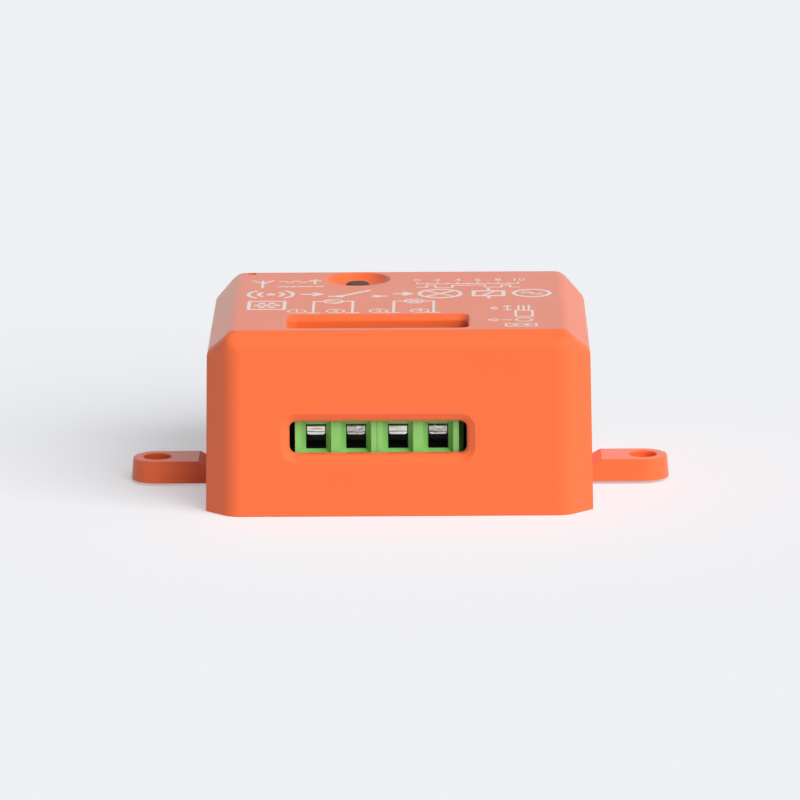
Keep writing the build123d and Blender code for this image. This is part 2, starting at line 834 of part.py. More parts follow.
with BuildPart() as contact_blade:
    blade_front = contact_y - blade_end
    with BuildSketch(Plane((relay_x, (coil_y + blade_front) / 2, armature_top))):
        Rectangle(blade_width, coil_y - blade_front)
    extrude(amount=blade_sheet)
    with BuildSketch(Plane((relay_x, contact_y, armature_top))):
        Circle(contact_radius)
    extrude(amount=-contact_height)
contact_blade.part.label = "contact_blade"
export_step(contact_blade.part, "parts/contact_blade.step")

with BuildPart() as fixed_contact:
    shelf_top = fixed_contact_top - contact_height / 2
    with BuildSketch(Plane.YZ.offset(relay_x)):
        with BuildLine():
            Polyline(
                (bracket_y, relay_bottom),
                (bracket_y + bracket_sheet, relay_bottom),
                (bracket_y + bracket_sheet, shelf_top - bracket_sheet),
                (contact_y + contact_radius, shelf_top - bracket_sheet),
                (contact_y + contact_radius, shelf_top),
                (bracket_y, shelf_top),
                close=True,
            )
        make_face()
    extrude(amount=blade_width / 2, both=True)
    with BuildSketch(Plane((relay_x, contact_y, shelf_top))):
        Circle(contact_radius)
    extrude(amount=contact_height / 2)
fixed_contact.part.label = "fixed_contact"
export_step(fixed_contact.part, "parts/fixed_contact.step")

# Transformer: foot with pins, winding on its bobbin, and the ferrite core around both
core_bottom = board_top + transformer_foot_height
core_plane = Plane(
    origin=(transformer_x, transformer_y, core_bottom + core_height / 2), x_dir=(1, 0, 0), z_dir=(0, -1, 0)
)
window_x = (core_leg + window_width) / 2
pin_offset = transformer_foot / 2 - transformer_pin_inset
transformer_pins = [
    (transformer_x + side * pin_offset, transformer_y + step * pin_offset)
    for side in (-1, 1)
    for step in (-1, 1)
]
with BuildPart() as transformer_bobbin:
    with BuildSketch(Plane((transformer_x, transformer_y, board_top))):
        RectangleRounded(transformer_foot, transformer_foot, transformer_foot_round)
    extrude(amount=transformer_foot_height)
    with BuildSketch(Plane.XY.offset(board_top)):
        with Locations(*transformer_pins):
            Circle(lead_radius)
    extrude(amount=lead_bottom - board_top)
transformer_bobbin.part.label = "transformer_bobbin"
export_step(transformer_bobbin.part, "parts/transformer_bobbin.step")

with BuildPart() as transformer_core:
    with BuildSketch(core_plane):
        Rectangle(core_width, core_height)
        with GridLocations(2 * window_x, 0, 2, 1):
            Rectangle(window_width, window_height, mode=Mode.SUBTRACT)
    extrude(amount=core_thickness / 2, both=True)
transformer_core.part.label = "transformer_core"
export_step(transformer_core.part, "parts/transformer_core.step")

with BuildPart() as transformer_winding:
    winding_height = window_height - 2 * winding_gap
    with BuildSketch(Plane((transformer_x, transformer_y, core_bottom + (core_height - winding_height) / 2))):
        RectangleRounded(core_leg + 2 * (window_width - winding_gap), winding_depth, winding_corner)
        Rectangle(core_leg + 2 * winding_gap, core_thickness + 2 * winding_gap, mode=Mode.SUBTRACT)
    extrude(amount=winding_height)
transformer_winding.part.label = "transformer_winding"
export_step(transformer_winding.part, "parts/transformer_winding.step")

# Upright capacitor cans, each with a crimped groove near its foot and two leads
cans = {
    "input_capacitor": (
        input_capacitor_x, input_capacitor_y, input_capacitor_radius, input_capacitor_height
    ),
    "filter_capacitor": (
        filter_capacitor_x, filter_capacitor_y, filter_capacitor_radius, filter_capacitor_height
    ),
    "output_capacitor": (
        filter_capacitor_x, output_capacitor_y, output_capacitor_radius, output_capacitor_height
    ),
}
for name, (can_x, can_y, can_radius, can_height) in cans.items():
    with BuildPart() as capacitor:
        with BuildSketch(Plane((can_x, can_y, board_top))):
            Circle(can_radius)
        extrude(amount=can_height)
        fillet(edges().filter_by(GeomType.CIRCLE), can_round)
        with Locations((can_x, can_y, board_top + can_groove_height)):
            Torus(can_radius + can_groove, 2 * can_groove, mode=Mode.SUBTRACT)
        with BuildSketch(Plane((can_x, can_y, board_top))):
            with GridLocations(2 * (can_radius - can_lead_inset), 0, 2, 1):
                Circle(lead_radius)
        extrude(amount=lead_bottom - board_top)
    capacitor.part.label = name
    export_step(capacitor.part, f"parts/{name}.step")
can_leads = [
    (can_x + side * (can_radius - can_lead_inset), can_y)
    for can_x, can_y, can_radius, can_height in cans.values()
    for side in (-1, 1)
]

# Choke: a ferrite drum with copper wire around its waist
choke_plane = Plane((choke_x, choke_y, board_top))
choke_leads = [(choke_x + side * choke_waist, choke_y) for side in (-1, 1)]
with BuildPart() as choke_drum:
    with BuildSketch(choke_plane, choke_plane.offset(choke_height - choke_flange)):
        Circle(choke_radius)
    extrude(amount=choke_flange)
    with BuildSketch(choke_plane):
        Circle(choke_waist)
    extrude(amount=choke_height)
    with BuildSketch(Plane.XY.offset(board_top)):
        with Locations(*choke_leads):
            Circle(lead_radius)
    extrude(amount=lead_bottom - board_top)
choke_drum.part.label = "choke_drum"
export_step(choke_drum.part, "parts/choke_drum.step")

with BuildPart() as choke_wire:
    with BuildSketch(choke_plane.offset(choke_flange)):
        Circle(choke_winding)
        Circle(choke_waist, mode=Mode.SUBTRACT)
    extrude(amount=choke_height - 2 * choke_flange)
choke_wire.part.label = "choke_wire"
export_step(choke_wire.part, "parts/choke_wire.step")

# Surge varistor, an upright coated disc
varistor_leads = [(varistor_x + side * varistor_lead_spread, varistor_y) for side in (-1, 1)]
varistor_z = board_top + varistor_lift + varistor_radius
with BuildPart() as varistor:
    with BuildSketch(Plane(origin=(varistor_x, varistor_y, varistor_z), z_dir=(0, 1, 0))):
        Circle(varistor_radius)
    extrude(amount=varistor_thickness / 2, both=True)
    fillet(edges().filter_by(GeomType.CIRCLE), varistor_round)
    with BuildSketch(Plane.XY.offset(lead_bottom)):
        with Locations(*varistor_leads):
            Circle(lead_radius)
    extrude(amount=varistor_z - lead_bottom)
varistor.part.label = "varistor"
export_step(varistor.part, "parts/varistor.step")

# Fuse resistor, standing on the board, with its upper lead bent over and down beside it
fuse_bottom = board_top + fuse_lift
fuse_top = fuse_bottom + fuse_height
fuse_bridge = fuse_top + 2 * lead_radius
fuse_leads = [(fuse_x, fuse_y), (fuse_x + fuse_lead_pitch, fuse_y)]
with BuildPart() as fuse_resistor:
    with BuildSketch(Plane((fuse_x, fuse_y, fuse_bottom))):
        Circle(fuse_radius)
    extrude(amount=fuse_height)
    with BuildSketch(Plane((fuse_x, fuse_y, fuse_bottom)), Plane((fuse_x, fuse_y, fuse_top - fuse_waist))):
        Circle(fuse_collar)
    extrude(amount=fuse_waist)
    fillet(edges().filter_by(GeomType.CIRCLE).group_by(Axis.Z)[-1], lead_radius)
    with BuildSketch(Plane.XY.offset(lead_bottom)):
        with Locations(fuse_leads[0]):
            Circle(lead_radius)
    extrude(amount=fuse_bottom - lead_bottom)
    with BuildSketch(Plane.XY.offset(lead_bottom)):
        with Locations(fuse_leads[1]):
            Circle(lead_radius)
    extrude(amount=fuse_bridge - lead_bottom)
    with BuildSketch(Plane((fuse_x, fuse_y, fuse_top - fuse_waist))):
        Circle(lead_radius)
    extrude(amount=fuse_waist + fuse_bridge - fuse_top)
    with BuildSketch(Plane(origin=(fuse_x, fuse_y, fuse_bridge), z_dir=(1, 0, 0))):
        Circle(lead_radius)
    extrude(amount=fuse_lead_pitch)
    with Locations(*[(x, y, fuse_bridge) for x, y in fuse_leads]):
        Sphere(lead_radius)
fuse_resistor.part.label = "fuse_resistor"
export_step(fuse_resistor.part, "parts/fuse_resistor.step")

# Line filter capacitor, a boxed film type
film_leads = [(film_x + side * (film_length / 2 - film_lead_inset), film_y) for side in (-1, 1)]
with BuildPart() as film_capacitor:
    with BuildSketch(Plane((film_x, film_y, board_top))):
        RectangleRounded(film_length, film_width, film_round)
    extrude(amount=film_height)
    fillet(faces().sort_by(Axis.Z)[-1].edges(), film_round)
    with BuildSketch(Plane.XY.offset(board_top)):
        with Locations(*film_leads):
            Circle(lead_radius)
    extrude(amount=lead_bottom - board_top)
film_capacitor.part.label = "film_capacitor"
export_step(film_capacitor.part, "parts/film_capacitor.step")

# Surface parts, each a moulded body over a row of legs on two sides
top_side = Plane((0, 0, board_top))
underside = Plane(origin=(0, 0, board_bottom), x_dir=(1, 0, 0), z_dir=(0, 0, -1))


def surface_part(name, side, place, body, span, legs):
    """Make and write one surface part on a side of the board.

    The body is its row, across and height, and legs is their number a side, pitch and width.
    """
    row, across, height = body
    count, pitch, leg_width = legs
    foot = Plane(origin=(place[0], place[1], side.origin.Z), x_dir=side.x_dir, z_dir=side.z_dir)
    with BuildPart() as chip:
        with BuildSketch(foot.offset(chip_lift)):
            Rectangle(row, across)
        extrude(amount=height - chip_lift, taper=draft_angle)
        with BuildSketch(foot):
            with GridLocations(pitch, 0, count, 1):
                Rectangle(leg_width, span)
        extrude(amount=leg_sheet)
        with BuildSketch(foot):
            with GridLocations(pitch, 0, count, 1):
                Rectangle(leg_width, across + 2 * leg_sheet)
        extrude(amount=height / 2)
    chip.part.label = name
    export_step(chip.part, f"parts/{name}.step")


surface_part(
    "rectifier",
    top_side,
    (rectifier_x, half_depth - rectifier_inset),
    (rectifier_row, rectifier_across, rectifier_height),
    rectifier_span,
    (2, rectifier_pitch, chip_leg_width),
)
surface_part(
    "voltage_regulator",
    top_side,
    (regulator_x, half_depth - regulator_inset),
    (regulator_row, regulator_across, regulator_height),
    regulator_span,
    (3, regulator_pitch, chip_leg_width),
)
surface_part(
    "power_controller",
    underside,
    (controller_x, controller_y),
    (controller_row, controller_across, controller_height),
    controller_span,
    (4, controller_pitch, chip_leg_width),
)
surface_part(
    "relay_driver",
    underside,
    (relay_x, coil_y),
    (driver_row, driver_across, driver_height),
    driver_span,
    (2, driver_pitch, chip_leg_width),
)
surface_part(
    "flyback_diode",
    top_side,
    (half_width - diode_inset_x, half_depth - diode_inset_y),
    (diode_row, diode_across, diode_height),
    diode_span,
    (1, diode_row, diode_leg_width),
)

# Radio module: its own small board, a pressed shield, the chip underneath, and the wire aerial
radio_top = board_top + radio_sheet
shield_y = radio_y + shield_y_shift
with BuildPart() as radio_board:
    with BuildSketch(Plane((radio_x, radio_y, board_top))):
        Rectangle(radio_width, radio_length)
    extrude(amount=radio_sheet)
radio_board.part.label = "radio_board"
export_step(radio_board.part, "parts/radio_board.step")

with BuildPart() as radio_shield:
    with BuildSketch(Plane((radio_x, shield_y, radio_top))):
        RectangleRounded(shield_width, shield_length, 2 * shield_sheet)
    extrude(amount=shield_height)
    with BuildSketch(Plane((radio_x, shield_y, radio_top))):
        Rectangle(shield_width - 2 * shield_sheet, shield_length - 2 * shield_sheet)
    extrude(amount=shield_height - shield_sheet, mode=Mode.SUBTRACT)
radio_shield.part.label = "radio_shield"
export_step(radio_shield.part, "parts/radio_shield.step")

with BuildPart() as radio_chip:
    with BuildSketch(Plane((radio_x, shield_y, radio_top))):
        Rectangle(radio_chip_size, radio_chip_size)
    extrude(amount=radio_chip_height)
radio_chip.part.label = "radio_chip"
export_step(radio_chip.part, "parts/radio_chip.step")

with BuildPart() as aerial:
    with BuildSketch(Plane((aerial_x, aerial_y, board_top))):
        Circle(aerial_radius)
    extrude(amount=body_height - aerial_sink - board_top)
    fillet(edges().filter_by(GeomType.CIRCLE).sort_by(Axis.Z)[-1], aerial_radius / 2)
    with BuildSketch(Plane((aerial_x, aerial_y, board_top))):
        Circle(lead_radius)
    extrude(amount=lead_bottom - board_top)
aerial.part.label = "aerial"
export_step(aerial.part, "parts/aerial.step")

# Key switch: base, legs, snap dome, steel cover, and the button whose foot sits on the dome
with BuildPart() as key_base:
    with BuildSketch(Plane((button_x, button_y, board_top))):
        Rectangle(key_size - 2 * key_cover_sheet, key_size)
    extrude(amount=key_height - key_cover_sheet)
    with BuildSketch(Plane((button_x, button_y, cavity_floor))):
        Circle(cavity_radius)
    extrude(amount=key_height, mode=Mode.SUBTRACT)
key_base.part.label = "key_base"
export_step(key_base.part, "parts/key_base.step")

key_legs_places = [
    (button_x + side * (key_size / 2 + key_leg_sheet), button_y + step * key_leg_spread / 2)
    for side in (-1, 1)
    for step in (-1, 1)
]
with BuildPart() as key_legs:
    with BuildSketch(Plane.XY.offset(lead_bottom)):
        with Locations(*key_legs_places):
            Rectangle(key_leg_sheet, key_leg_width)
    extrude(amount=board_top + key_leg_width - lead_bottom)
key_legs.part.label = "key_legs"
export_step(key_legs.part, "parts/key_legs.step")

with BuildPart() as key_cover:
    with BuildSketch(Plane((button_x, button_y, key_top - key_cover_sheet))):
        Rectangle(key_size, key_size)
        Circle(hole_radius, mode=Mode.SUBTRACT)
    extrude(amount=key_cover_sheet)
    with BuildSketch(Plane((button_x, button_y, key_top))):
        with GridLocations(key_size - key_cover_sheet, 0, 2, 1):
            Rectangle(key_cover_sheet, key_size / 2)
    extrude(amount=-key_tab)
key_cover.part.label = "key_cover"
export_step(key_cover.part, "parts/key_cover.step")

dome_top = dome_base + dome_rise + dome_sheet
dome_ball = (dome_radius**2 + dome_rise**2) / (2 * dome_rise)
dome_middle = (dome_radius / 2, sqrt(dome_ball**2 - dome_radius**2 / 4) - dome_ball + dome_rise)
with BuildPart() as key_dome:
    with BuildSketch(Plane(origin=(button_x, button_y, dome_base), x_dir=(1, 0, 0), z_dir=(0, -1, 0))):
        with BuildLine():
            ThreePointArc((0, dome_rise), dome_middle, (dome_radius, 0))
            Line((dome_radius, 0), (dome_radius, dome_sheet))
            ThreePointArc(
                (dome_radius, dome_sheet),
                (dome_middle[0], dome_middle[1] + dome_sheet),
                (0, dome_rise + dome_sheet),
            )
            Line((0, dome_rise + dome_sheet), (0, dome_rise))
        make_face()
    revolve(axis=Axis((button_x, button_y, 0), (0, 0, 1)))
key_dome.part.label = "key_dome"
export_step(key_dome.part, "parts/key_dome.step")

with BuildPart() as button:
    with BuildSketch(Plane((button_x, button_y, dome_top + key_fit))):
        Circle(foot_radius)
    extrude(amount=foot_height)
    with BuildSketch(Plane((button_x, button_y, dome_top + key_fit))):
        Circle(button_radius)
    extrude(amount=button_top - dome_top - key_fit)
    chamfer(edges().filter_by(GeomType.CIRCLE).sort_by(Axis.Z)[-1], button_chamfer)
button.part.label = "button"
export_step(button.part, "parts/button.step")

# Main board, drilled for the posts' pins and for every lead
frame_leads = [(pole, screw_y) for pole in pole_places]
round_leads = transformer_pins + can_leads + choke_leads + varistor_leads + fuse_leads + film_leads
with BuildPart() as main_board:
    with BuildSketch(Plane.XY.offset(board_bottom)):
        Rectangle(2 * board_half_x, 2 * board_half_y)
        chamfer(vertices(), board_corner)
        with GridLocations(2 * post_x, 2 * post_y, 2, 2):
            Circle(pin_radius + pin_gap, mode=Mode.SUBTRACT)
        with Locations(*round_leads, (aerial_x, aerial_y)):
            Circle(lead_radius + lead_gap, mode=Mode.SUBTRACT)
        with Locations(*frame_leads):
            Rectangle(frame_pin + 2 * lead_gap, frame_pin + 2 * lead_gap, mode=Mode.SUBTRACT)
        with Locations(*relay_pins):
            Rectangle(relay_pin_width + 2 * lead_gap, relay_pin_sheet + 2 * lead_gap, mode=Mode.SUBTRACT)
        with Locations(*key_legs_places):
            Rectangle(key_leg_sheet + 2 * lead_gap, key_leg_width + 2 * lead_gap, mode=Mode.SUBTRACT)
    extrude(amount=board_thickness)
main_board.part.label = "main_board"
export_step(main_board.part, "parts/main_board.step")
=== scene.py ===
# %% [markdown]
# # A relay module for a smart home, dressed for its portrait
# The object is an orange plastic box about as long as a matchbox, with an ear at each end. It is
# wired into the lead of a lamp and switches it by radio. The pieces come from a solid model in real
# sizes. This lesson gives each of them its finish, and adds what a solid model leaves out: the
# grooves in the wire guards, the threads of the screws, the turns of the coils, the curve of the
# snap dome and the print on the lid. Up is +Z, and the side with the wires faces -Y. Lengths in the
# code are in millimetres, and MM turns them into Blender's metres.

# %% Load the pieces
import itertools
import json
import math

import bmesh
import bpy
from mathutils import Matrix, Vector


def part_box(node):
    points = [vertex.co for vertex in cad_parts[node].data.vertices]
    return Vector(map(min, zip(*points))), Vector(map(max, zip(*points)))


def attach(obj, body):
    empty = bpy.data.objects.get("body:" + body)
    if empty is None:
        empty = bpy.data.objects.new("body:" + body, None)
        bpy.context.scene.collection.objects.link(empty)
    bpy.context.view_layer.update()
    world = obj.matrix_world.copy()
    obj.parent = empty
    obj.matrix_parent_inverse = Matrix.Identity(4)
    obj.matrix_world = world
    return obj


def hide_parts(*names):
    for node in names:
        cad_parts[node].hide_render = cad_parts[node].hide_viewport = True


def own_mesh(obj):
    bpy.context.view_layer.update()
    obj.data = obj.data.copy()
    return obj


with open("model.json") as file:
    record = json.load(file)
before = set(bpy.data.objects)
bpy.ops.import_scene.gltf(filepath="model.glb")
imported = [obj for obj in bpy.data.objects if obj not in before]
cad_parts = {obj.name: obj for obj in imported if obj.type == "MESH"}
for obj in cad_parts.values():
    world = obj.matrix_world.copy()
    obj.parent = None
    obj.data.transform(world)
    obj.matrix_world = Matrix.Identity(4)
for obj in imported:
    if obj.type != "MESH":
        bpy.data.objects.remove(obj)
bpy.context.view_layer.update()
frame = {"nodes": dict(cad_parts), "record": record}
nodes = frame["nodes"]
slots = {part["node"]: part["material_slot"] for part in frame["record"]["subparts"]}
MM = 0.001

# %% [markdown]
# ## The camera
# The photograph looks almost level at the front, from far away: the side faces hardly show, and the
# lid is a thin strip. A long lens at three quarters of a metre gives that flat, calm perspective.
# The place and the small tilt come from fitting the corners of the casing to the photograph.

# %% Set the camera
PHOTO_SIDE = 800
FOCAL_PIXELS = 6097.4
SENSOR = 36.0
CAMERA_DISTANCE = 777.7
CAMERA_ELEVATION = math.radians(12.684)
CAMERA_TURN = math.radians(-0.391)
CAMERA_ROLL = math.radians(-0.403)
CAMERA_TARGET = Vector((0.031, 0.0, 10.395))
CLIP_START = 10


def set_camera():
    """Place a long lens in front of the object, looking a little down."""
    forward = Vector((
        math.sin(CAMERA_TURN) * math.cos(CAMERA_ELEVATION),
        math.cos(CAMERA_TURN) * math.cos(CAMERA_ELEVATION),
        -math.sin(CAMERA_ELEVATION),
    ))
    level = Vector((math.cos(CAMERA_TURN), -math.sin(CAMERA_TURN), 0.0))
    upward = level.cross(forward)
    right = math.cos(CAMERA_ROLL) * level + math.sin(CAMERA_ROLL) * upward
    up = math.cos(CAMERA_ROLL) * upward - math.sin(CAMERA_ROLL) * level
    data = bpy.data.cameras.new("camera")
    data.sensor_width = SENSOR
    data.lens = FOCAL_PIXELS / PHOTO_SIDE * SENSOR
    data.clip_start = CLIP_START * MM
    camera = bpy.data.objects.new("camera", data)
    place = (CAMERA_TARGET - forward * CAMERA_DISTANCE) * MM
    turn = Matrix((right, up, -forward)).transposed().to_4x4()
    camera.matrix_world = Matrix.Translation(place) @ turn
    bpy.context.scene.collection.objects.link(camera)
    bpy.context.scene.camera = camera
    return data.lens


print("lens:", round(set_camera(), 1))
bpy.context.scene.view_settings.view_transform = "Standard"

# %% [markdown]
# ## Building a node tree in few words
# Every finish below is a small tree of shader nodes. Two helpers keep the trees readable: one adds
# a node and sets its sockets by name, and the other tells the floor and the world whether they are
# seen, or only light the object.

# %% Write the helpers for node trees
def add_node(tree, kind, links=(), **settings):
    """Add a node, set its properties, and link values into its inputs by name or number."""
    node = tree.nodes.new(kind)
    for name, value in settings.items():
        setattr(node, name, value)
    for socket, value in dict(links).items():
        if isinstance(value, bpy.types.NodeSocket):
            tree.links.new(value, node.inputs[socket])
        else:
            node.inputs[socket].default_value = value
    return node


def seen_directly(tree):
    """Give 1 for a ray from the camera, from a mirror-like surface or through glass, and else 0."""
    path = add_node(tree, "ShaderNodeLightPath")
    first = add_node(tree, "ShaderNodeMath", {
        0: path.outputs["Is Camera Ray"], 1: path.outputs["Is Glossy Ray"],
    }, operation="MAXIMUM")
    both = add_node(tree, "ShaderNodeMath", {
        0: first.outputs[0], 1: path.outputs["Is Transmission Ray"],
    }, operation="MAXIMUM")
    return both.outputs[0]


# %% [markdown]
# ## The table, the light and the pale surroundings
# The object stands on a seamless pale sweep. A wide, soft light from the right and a little above
# makes the right corner bright, keeps the left corner dark and lays a long soft shadow to the left
# and back. It is a sun with a very large disc, because that lights the whole floor evenly, as a big
# softbox far away would. The floor would still come out darker than the paper white of the
# photograph, because nothing reflects all of its light. So the camera, and mirror-like reflections,
# see the floor with a little glow added, while the object is lit by the plain floor, and the shadow
# stays. The world does the same: it lights faintly, and is seen and reflected as paper white. The
# lamp itself is kept out of reflections, because from behind its large disc would turn the whole
# lid white.

# %% Make the table and the light
PAPER = (0.862, 0.880, 0.913, 1)
FLOOR_COLOUR = (0.66, 0.667, 0.68, 1)
FLOOR_GLOW = 0.445
FLOOR_RADIUS = 6000
FLOOR_SIDES = 96
WORLD_LIGHT = 0.20
KEY_AZIMUTH = math.radians(40)
KEY_ELEVATION = math.radians(31)
KEY_SPREAD = math.radians(60)
KEY_POWER = 3.35


def make_floor():
    """Lay a wide round floor under the object."""
    mesh = bpy.data.meshes.new("floor")
    shape = bmesh.new()
    bmesh.ops.create_circle(shape, cap_ends=True, radius=FLOOR_RADIUS * MM, segments=FLOOR_SIDES)
    shape.to_mesh(mesh)
    shape.free()
    material = bpy.data.materials.new("paper_floor")
    material.use_nodes = True
    tree = material.node_tree
    tree.nodes.clear()
    paper = add_node(tree, "ShaderNodeBsdfDiffuse", {"Color": FLOOR_COLOUR})
    level = add_node(tree, "ShaderNodeMath", {
        0: seen_directly(tree), 1: FLOOR_GLOW,
    }, operation="MULTIPLY")
    glow = add_node(tree, "ShaderNodeEmission", {"Color": PAPER, "Strength": level.outputs[0]})
    both = add_node(tree, "ShaderNodeAddShader", {0: paper.outputs[0], 1: glow.outputs[0]})
    add_node(tree, "ShaderNodeOutputMaterial", {"Surface": both.outputs[0]})
    mesh.materials.append(material)
    floor = bpy.data.objects.new("floor", mesh)
    bpy.context.scene.collection.objects.link(floor)


def make_key_light():
    """Light the scene from the right of the front, with azimuth counted from the front."""
    data = bpy.data.lights.new("key_light", "SUN")
    data.angle = KEY_SPREAD
    data.energy = KEY_POWER
    lamp = bpy.data.objects.new("key_light", data)
    lamp.visible_glossy = False
    direction = Vector((
        math.sin(KEY_AZIMUTH) * math.cos(KEY_ELEVATION),
        -math.cos(KEY_AZIMUTH) * math.cos(KEY_ELEVATION),
        math.sin(KEY_ELEVATION),
    ))
    lamp.rotation_euler = direction.to_track_quat("Z", "Y").to_euler()
    bpy.context.scene.collection.objects.link(lamp)


def make_world():
    """Light the scene evenly and faintly, and show paper white to the camera and in reflections."""
    world = bpy.data.worlds.new("studio")
    bpy.context.scene.world = world
    world.use_nodes = True
    tree = world.node_tree
    level = add_node(tree, "ShaderNodeMapRange", {
        "Value": seen_directly(tree), "To Min": WORLD_LIGHT, "To Max": 1.0,
    })
    background = tree.nodes["Background"]
    background.inputs["Color"].default_value = PAPER
    tree.links.new(level.outputs["Result"], background.inputs["Strength"])


make_floor()
make_key_light()
make_world()
print("lamps:", [lamp.name for lamp in bpy.data.lights])

# %% [markdown]
# ## Finishes that start from noise
# No real surface is one even colour. Moulded plastic flows unevenly and its mould is spark-eroded
# to a fine grain, rolled steel has long faint scratches, ferrite is pressed from grey powder. All
# of these can be made from two noises: a slow one that shifts the colour between two values and the
# gloss with it, and a fine one that bumps the surface. Both read object coordinates, so a grain is
# as many millimetres across on every piece, and a stretch turns blobs into the streaks of a rolled
# sheet. A noise seldom leaves the range from 0.3 to 0.7, so that range runs through the two values.

# %% Write the helpers for mottled finishes
BLOB_LOW = 0.3
BLOB_HIGH = 0.7


def start_finish(name, roughness, metallic=0.0, **sockets):
    """Give a new material and its shader, with the plain values on the shader's own sockets."""
    material = bpy.data.materials.new(name)
    material.use_nodes = True
    shader = material.node_tree.nodes["Principled BSDF"]
    shader.inputs["Roughness"].default_value = roughness
    shader.inputs["Metallic"].default_value = metallic
    for socket, value in sockets.items():
        shader.inputs[socket.replace("_", " ")].default_value = value
    return material, shader


def add_place(tree, stretch=(1, 1, 1)):
    """Give object coordinates in millimetres, divided by a stretch."""
    place = add_node(tree, "ShaderNodeTexCoord")
    mapping = add_node(tree, "ShaderNodeMapping", {
        "Vector": place.outputs["Object"],
        "Scale": [1 / (MM * way) for way in stretch],
    })
    return mapping.outputs["Vector"]


def add_noise(tree, grain, stretch=(1, 1, 1), detail=2.0):
    """Give the value of a noise whose blobs are about a grain across, in millimetres."""
    noise = add_node(tree, "ShaderNodeTexNoise", {
        "Vector": add_place(tree, stretch), "Scale": 1 / grain, "Detail": detail,
    })
    return noise.outputs["Fac"]


def add_colours(tree, shader, value, colours, start=BLOB_LOW, end=BLOB_HIGH):
    """Let a value run the base colour from one colour to another."""
    ramp = add_node(tree, "ShaderNodeValToRGB", {"Fac": value})
    for stop, position, colour in zip(ramp.color_ramp.elements, (start, end), colours):
        stop.position = position
        stop.color = (*colour, 1)
    tree.links.new(ramp.outputs["Color"], shader.inputs["Base Color"])


def add_bump(tree, shader, value, depth):
    """Bump the surface by a value, with the depth in millimetres."""
    bump = add_node(tree, "ShaderNodeBump", {"Height": value, "Distance": depth * MM})
    tree.links.new(bump.outputs["Normal"], shader.inputs["Normal"])


def mottled(name, dark, light, roughness, metallic=0.0, cloud=4.0, grain=0.15, depth=0.003,
            gloss=0.04, stretch=(1, 1, 1), **sockets):
    """Make a finish whose colour and gloss drift slowly and whose surface has a fine grain."""
    material, shader = start_finish(name, roughness, metallic, **sockets)
    tree = material.node_tree
    slow = add_noise(tree, cloud, stretch)
    add_colours(tree, shader, slow, (dark, light))
    drift = add_node(tree, "ShaderNodeMapRange", {
        "Value": slow, "From Min": BLOB_LOW, "From Max": BLOB_HIGH,
        "To Min": roughness - gloss, "To Max": roughness + gloss,
    })
    tree.links.new(drift.outputs["Result"], shader.inputs["Roughness"])
    add_bump(tree, shader, add_noise(tree, grain, stretch, detail=3.0), depth)
    return material


# %% [markdown]
# ## The moulded plastics
# The casing is a satin orange that looks deep red where little light reaches it, because light that
# bounces between two orange walls loses its green each time. Its colour barely drifts. At the
# grazing angle of the lid it takes a pale sheen from the bright room, and a thin coat and a little
# of the shader's own sheen strengthen that. The terminal blocks are a milky green, and the button
# is nearly black.

# %% Make the moulded plastics
finishes = {
    "casing_plastic": mottled("casing_orange", (0.945, 0.160, 0.041), (0.955, 0.163, 0.043),
                              0.40, cloud=12, grain=0.22, depth=0.0022, gloss=0.03, IOR=1.42,
                              Coat_Weight=0.3, Coat_Roughness=0.35, Sheen_Weight=0.3,
                              Sheen_Roughness=0.3, Sheen_Tint=(1.0, 0.85, 0.7, 1)),
    "terminal_plastic": mottled("terminal_green", (0.225, 0.56, 0.135), (0.25, 0.60, 0.155),
                                0.42, cloud=3, grain=0.18, depth=0.002),
    "button_plastic": mottled("button_grey", (0.080, 0.048, 0.036), (0.095, 0.058, 0.043),
                              0.55, cloud=1.5, grain=0.12, depth=0.003, Specular_IOR_Level=0.1),
    "black_plastic": mottled("package_black", (0.018, 0.018, 0.019), (0.03, 0.03, 0.031),
                             0.55, cloud=1.2, grain=0.07, depth=0.004),
    "relay_plastic": mottled("relay_blue", (0.015, 0.07, 0.22), (0.02, 0.085, 0.26),
                             0.4, cloud=5, grain=0.2, depth=0.003),
    "bobbin_plastic": mottled("bobbin_cream", (0.60, 0.55, 0.42), (0.68, 0.63, 0.50),
                              0.5, cloud=3, grain=0.15, depth=0.003),
    "aerial_sleeve": mottled("sleeve_black", (0.016, 0.016, 0.018), (0.028, 0.028, 0.03),
                             0.5, cloud=0.8, grain=0.08, depth=0.003),
    "print_ink": mottled("print_white", (0.93, 0.86, 0.82), (0.98, 0.93, 0.89),
                         0.5, cloud=0.6, grain=0.05, depth=0.001, gloss=0.06),
}
print("plastics:", len(finishes))
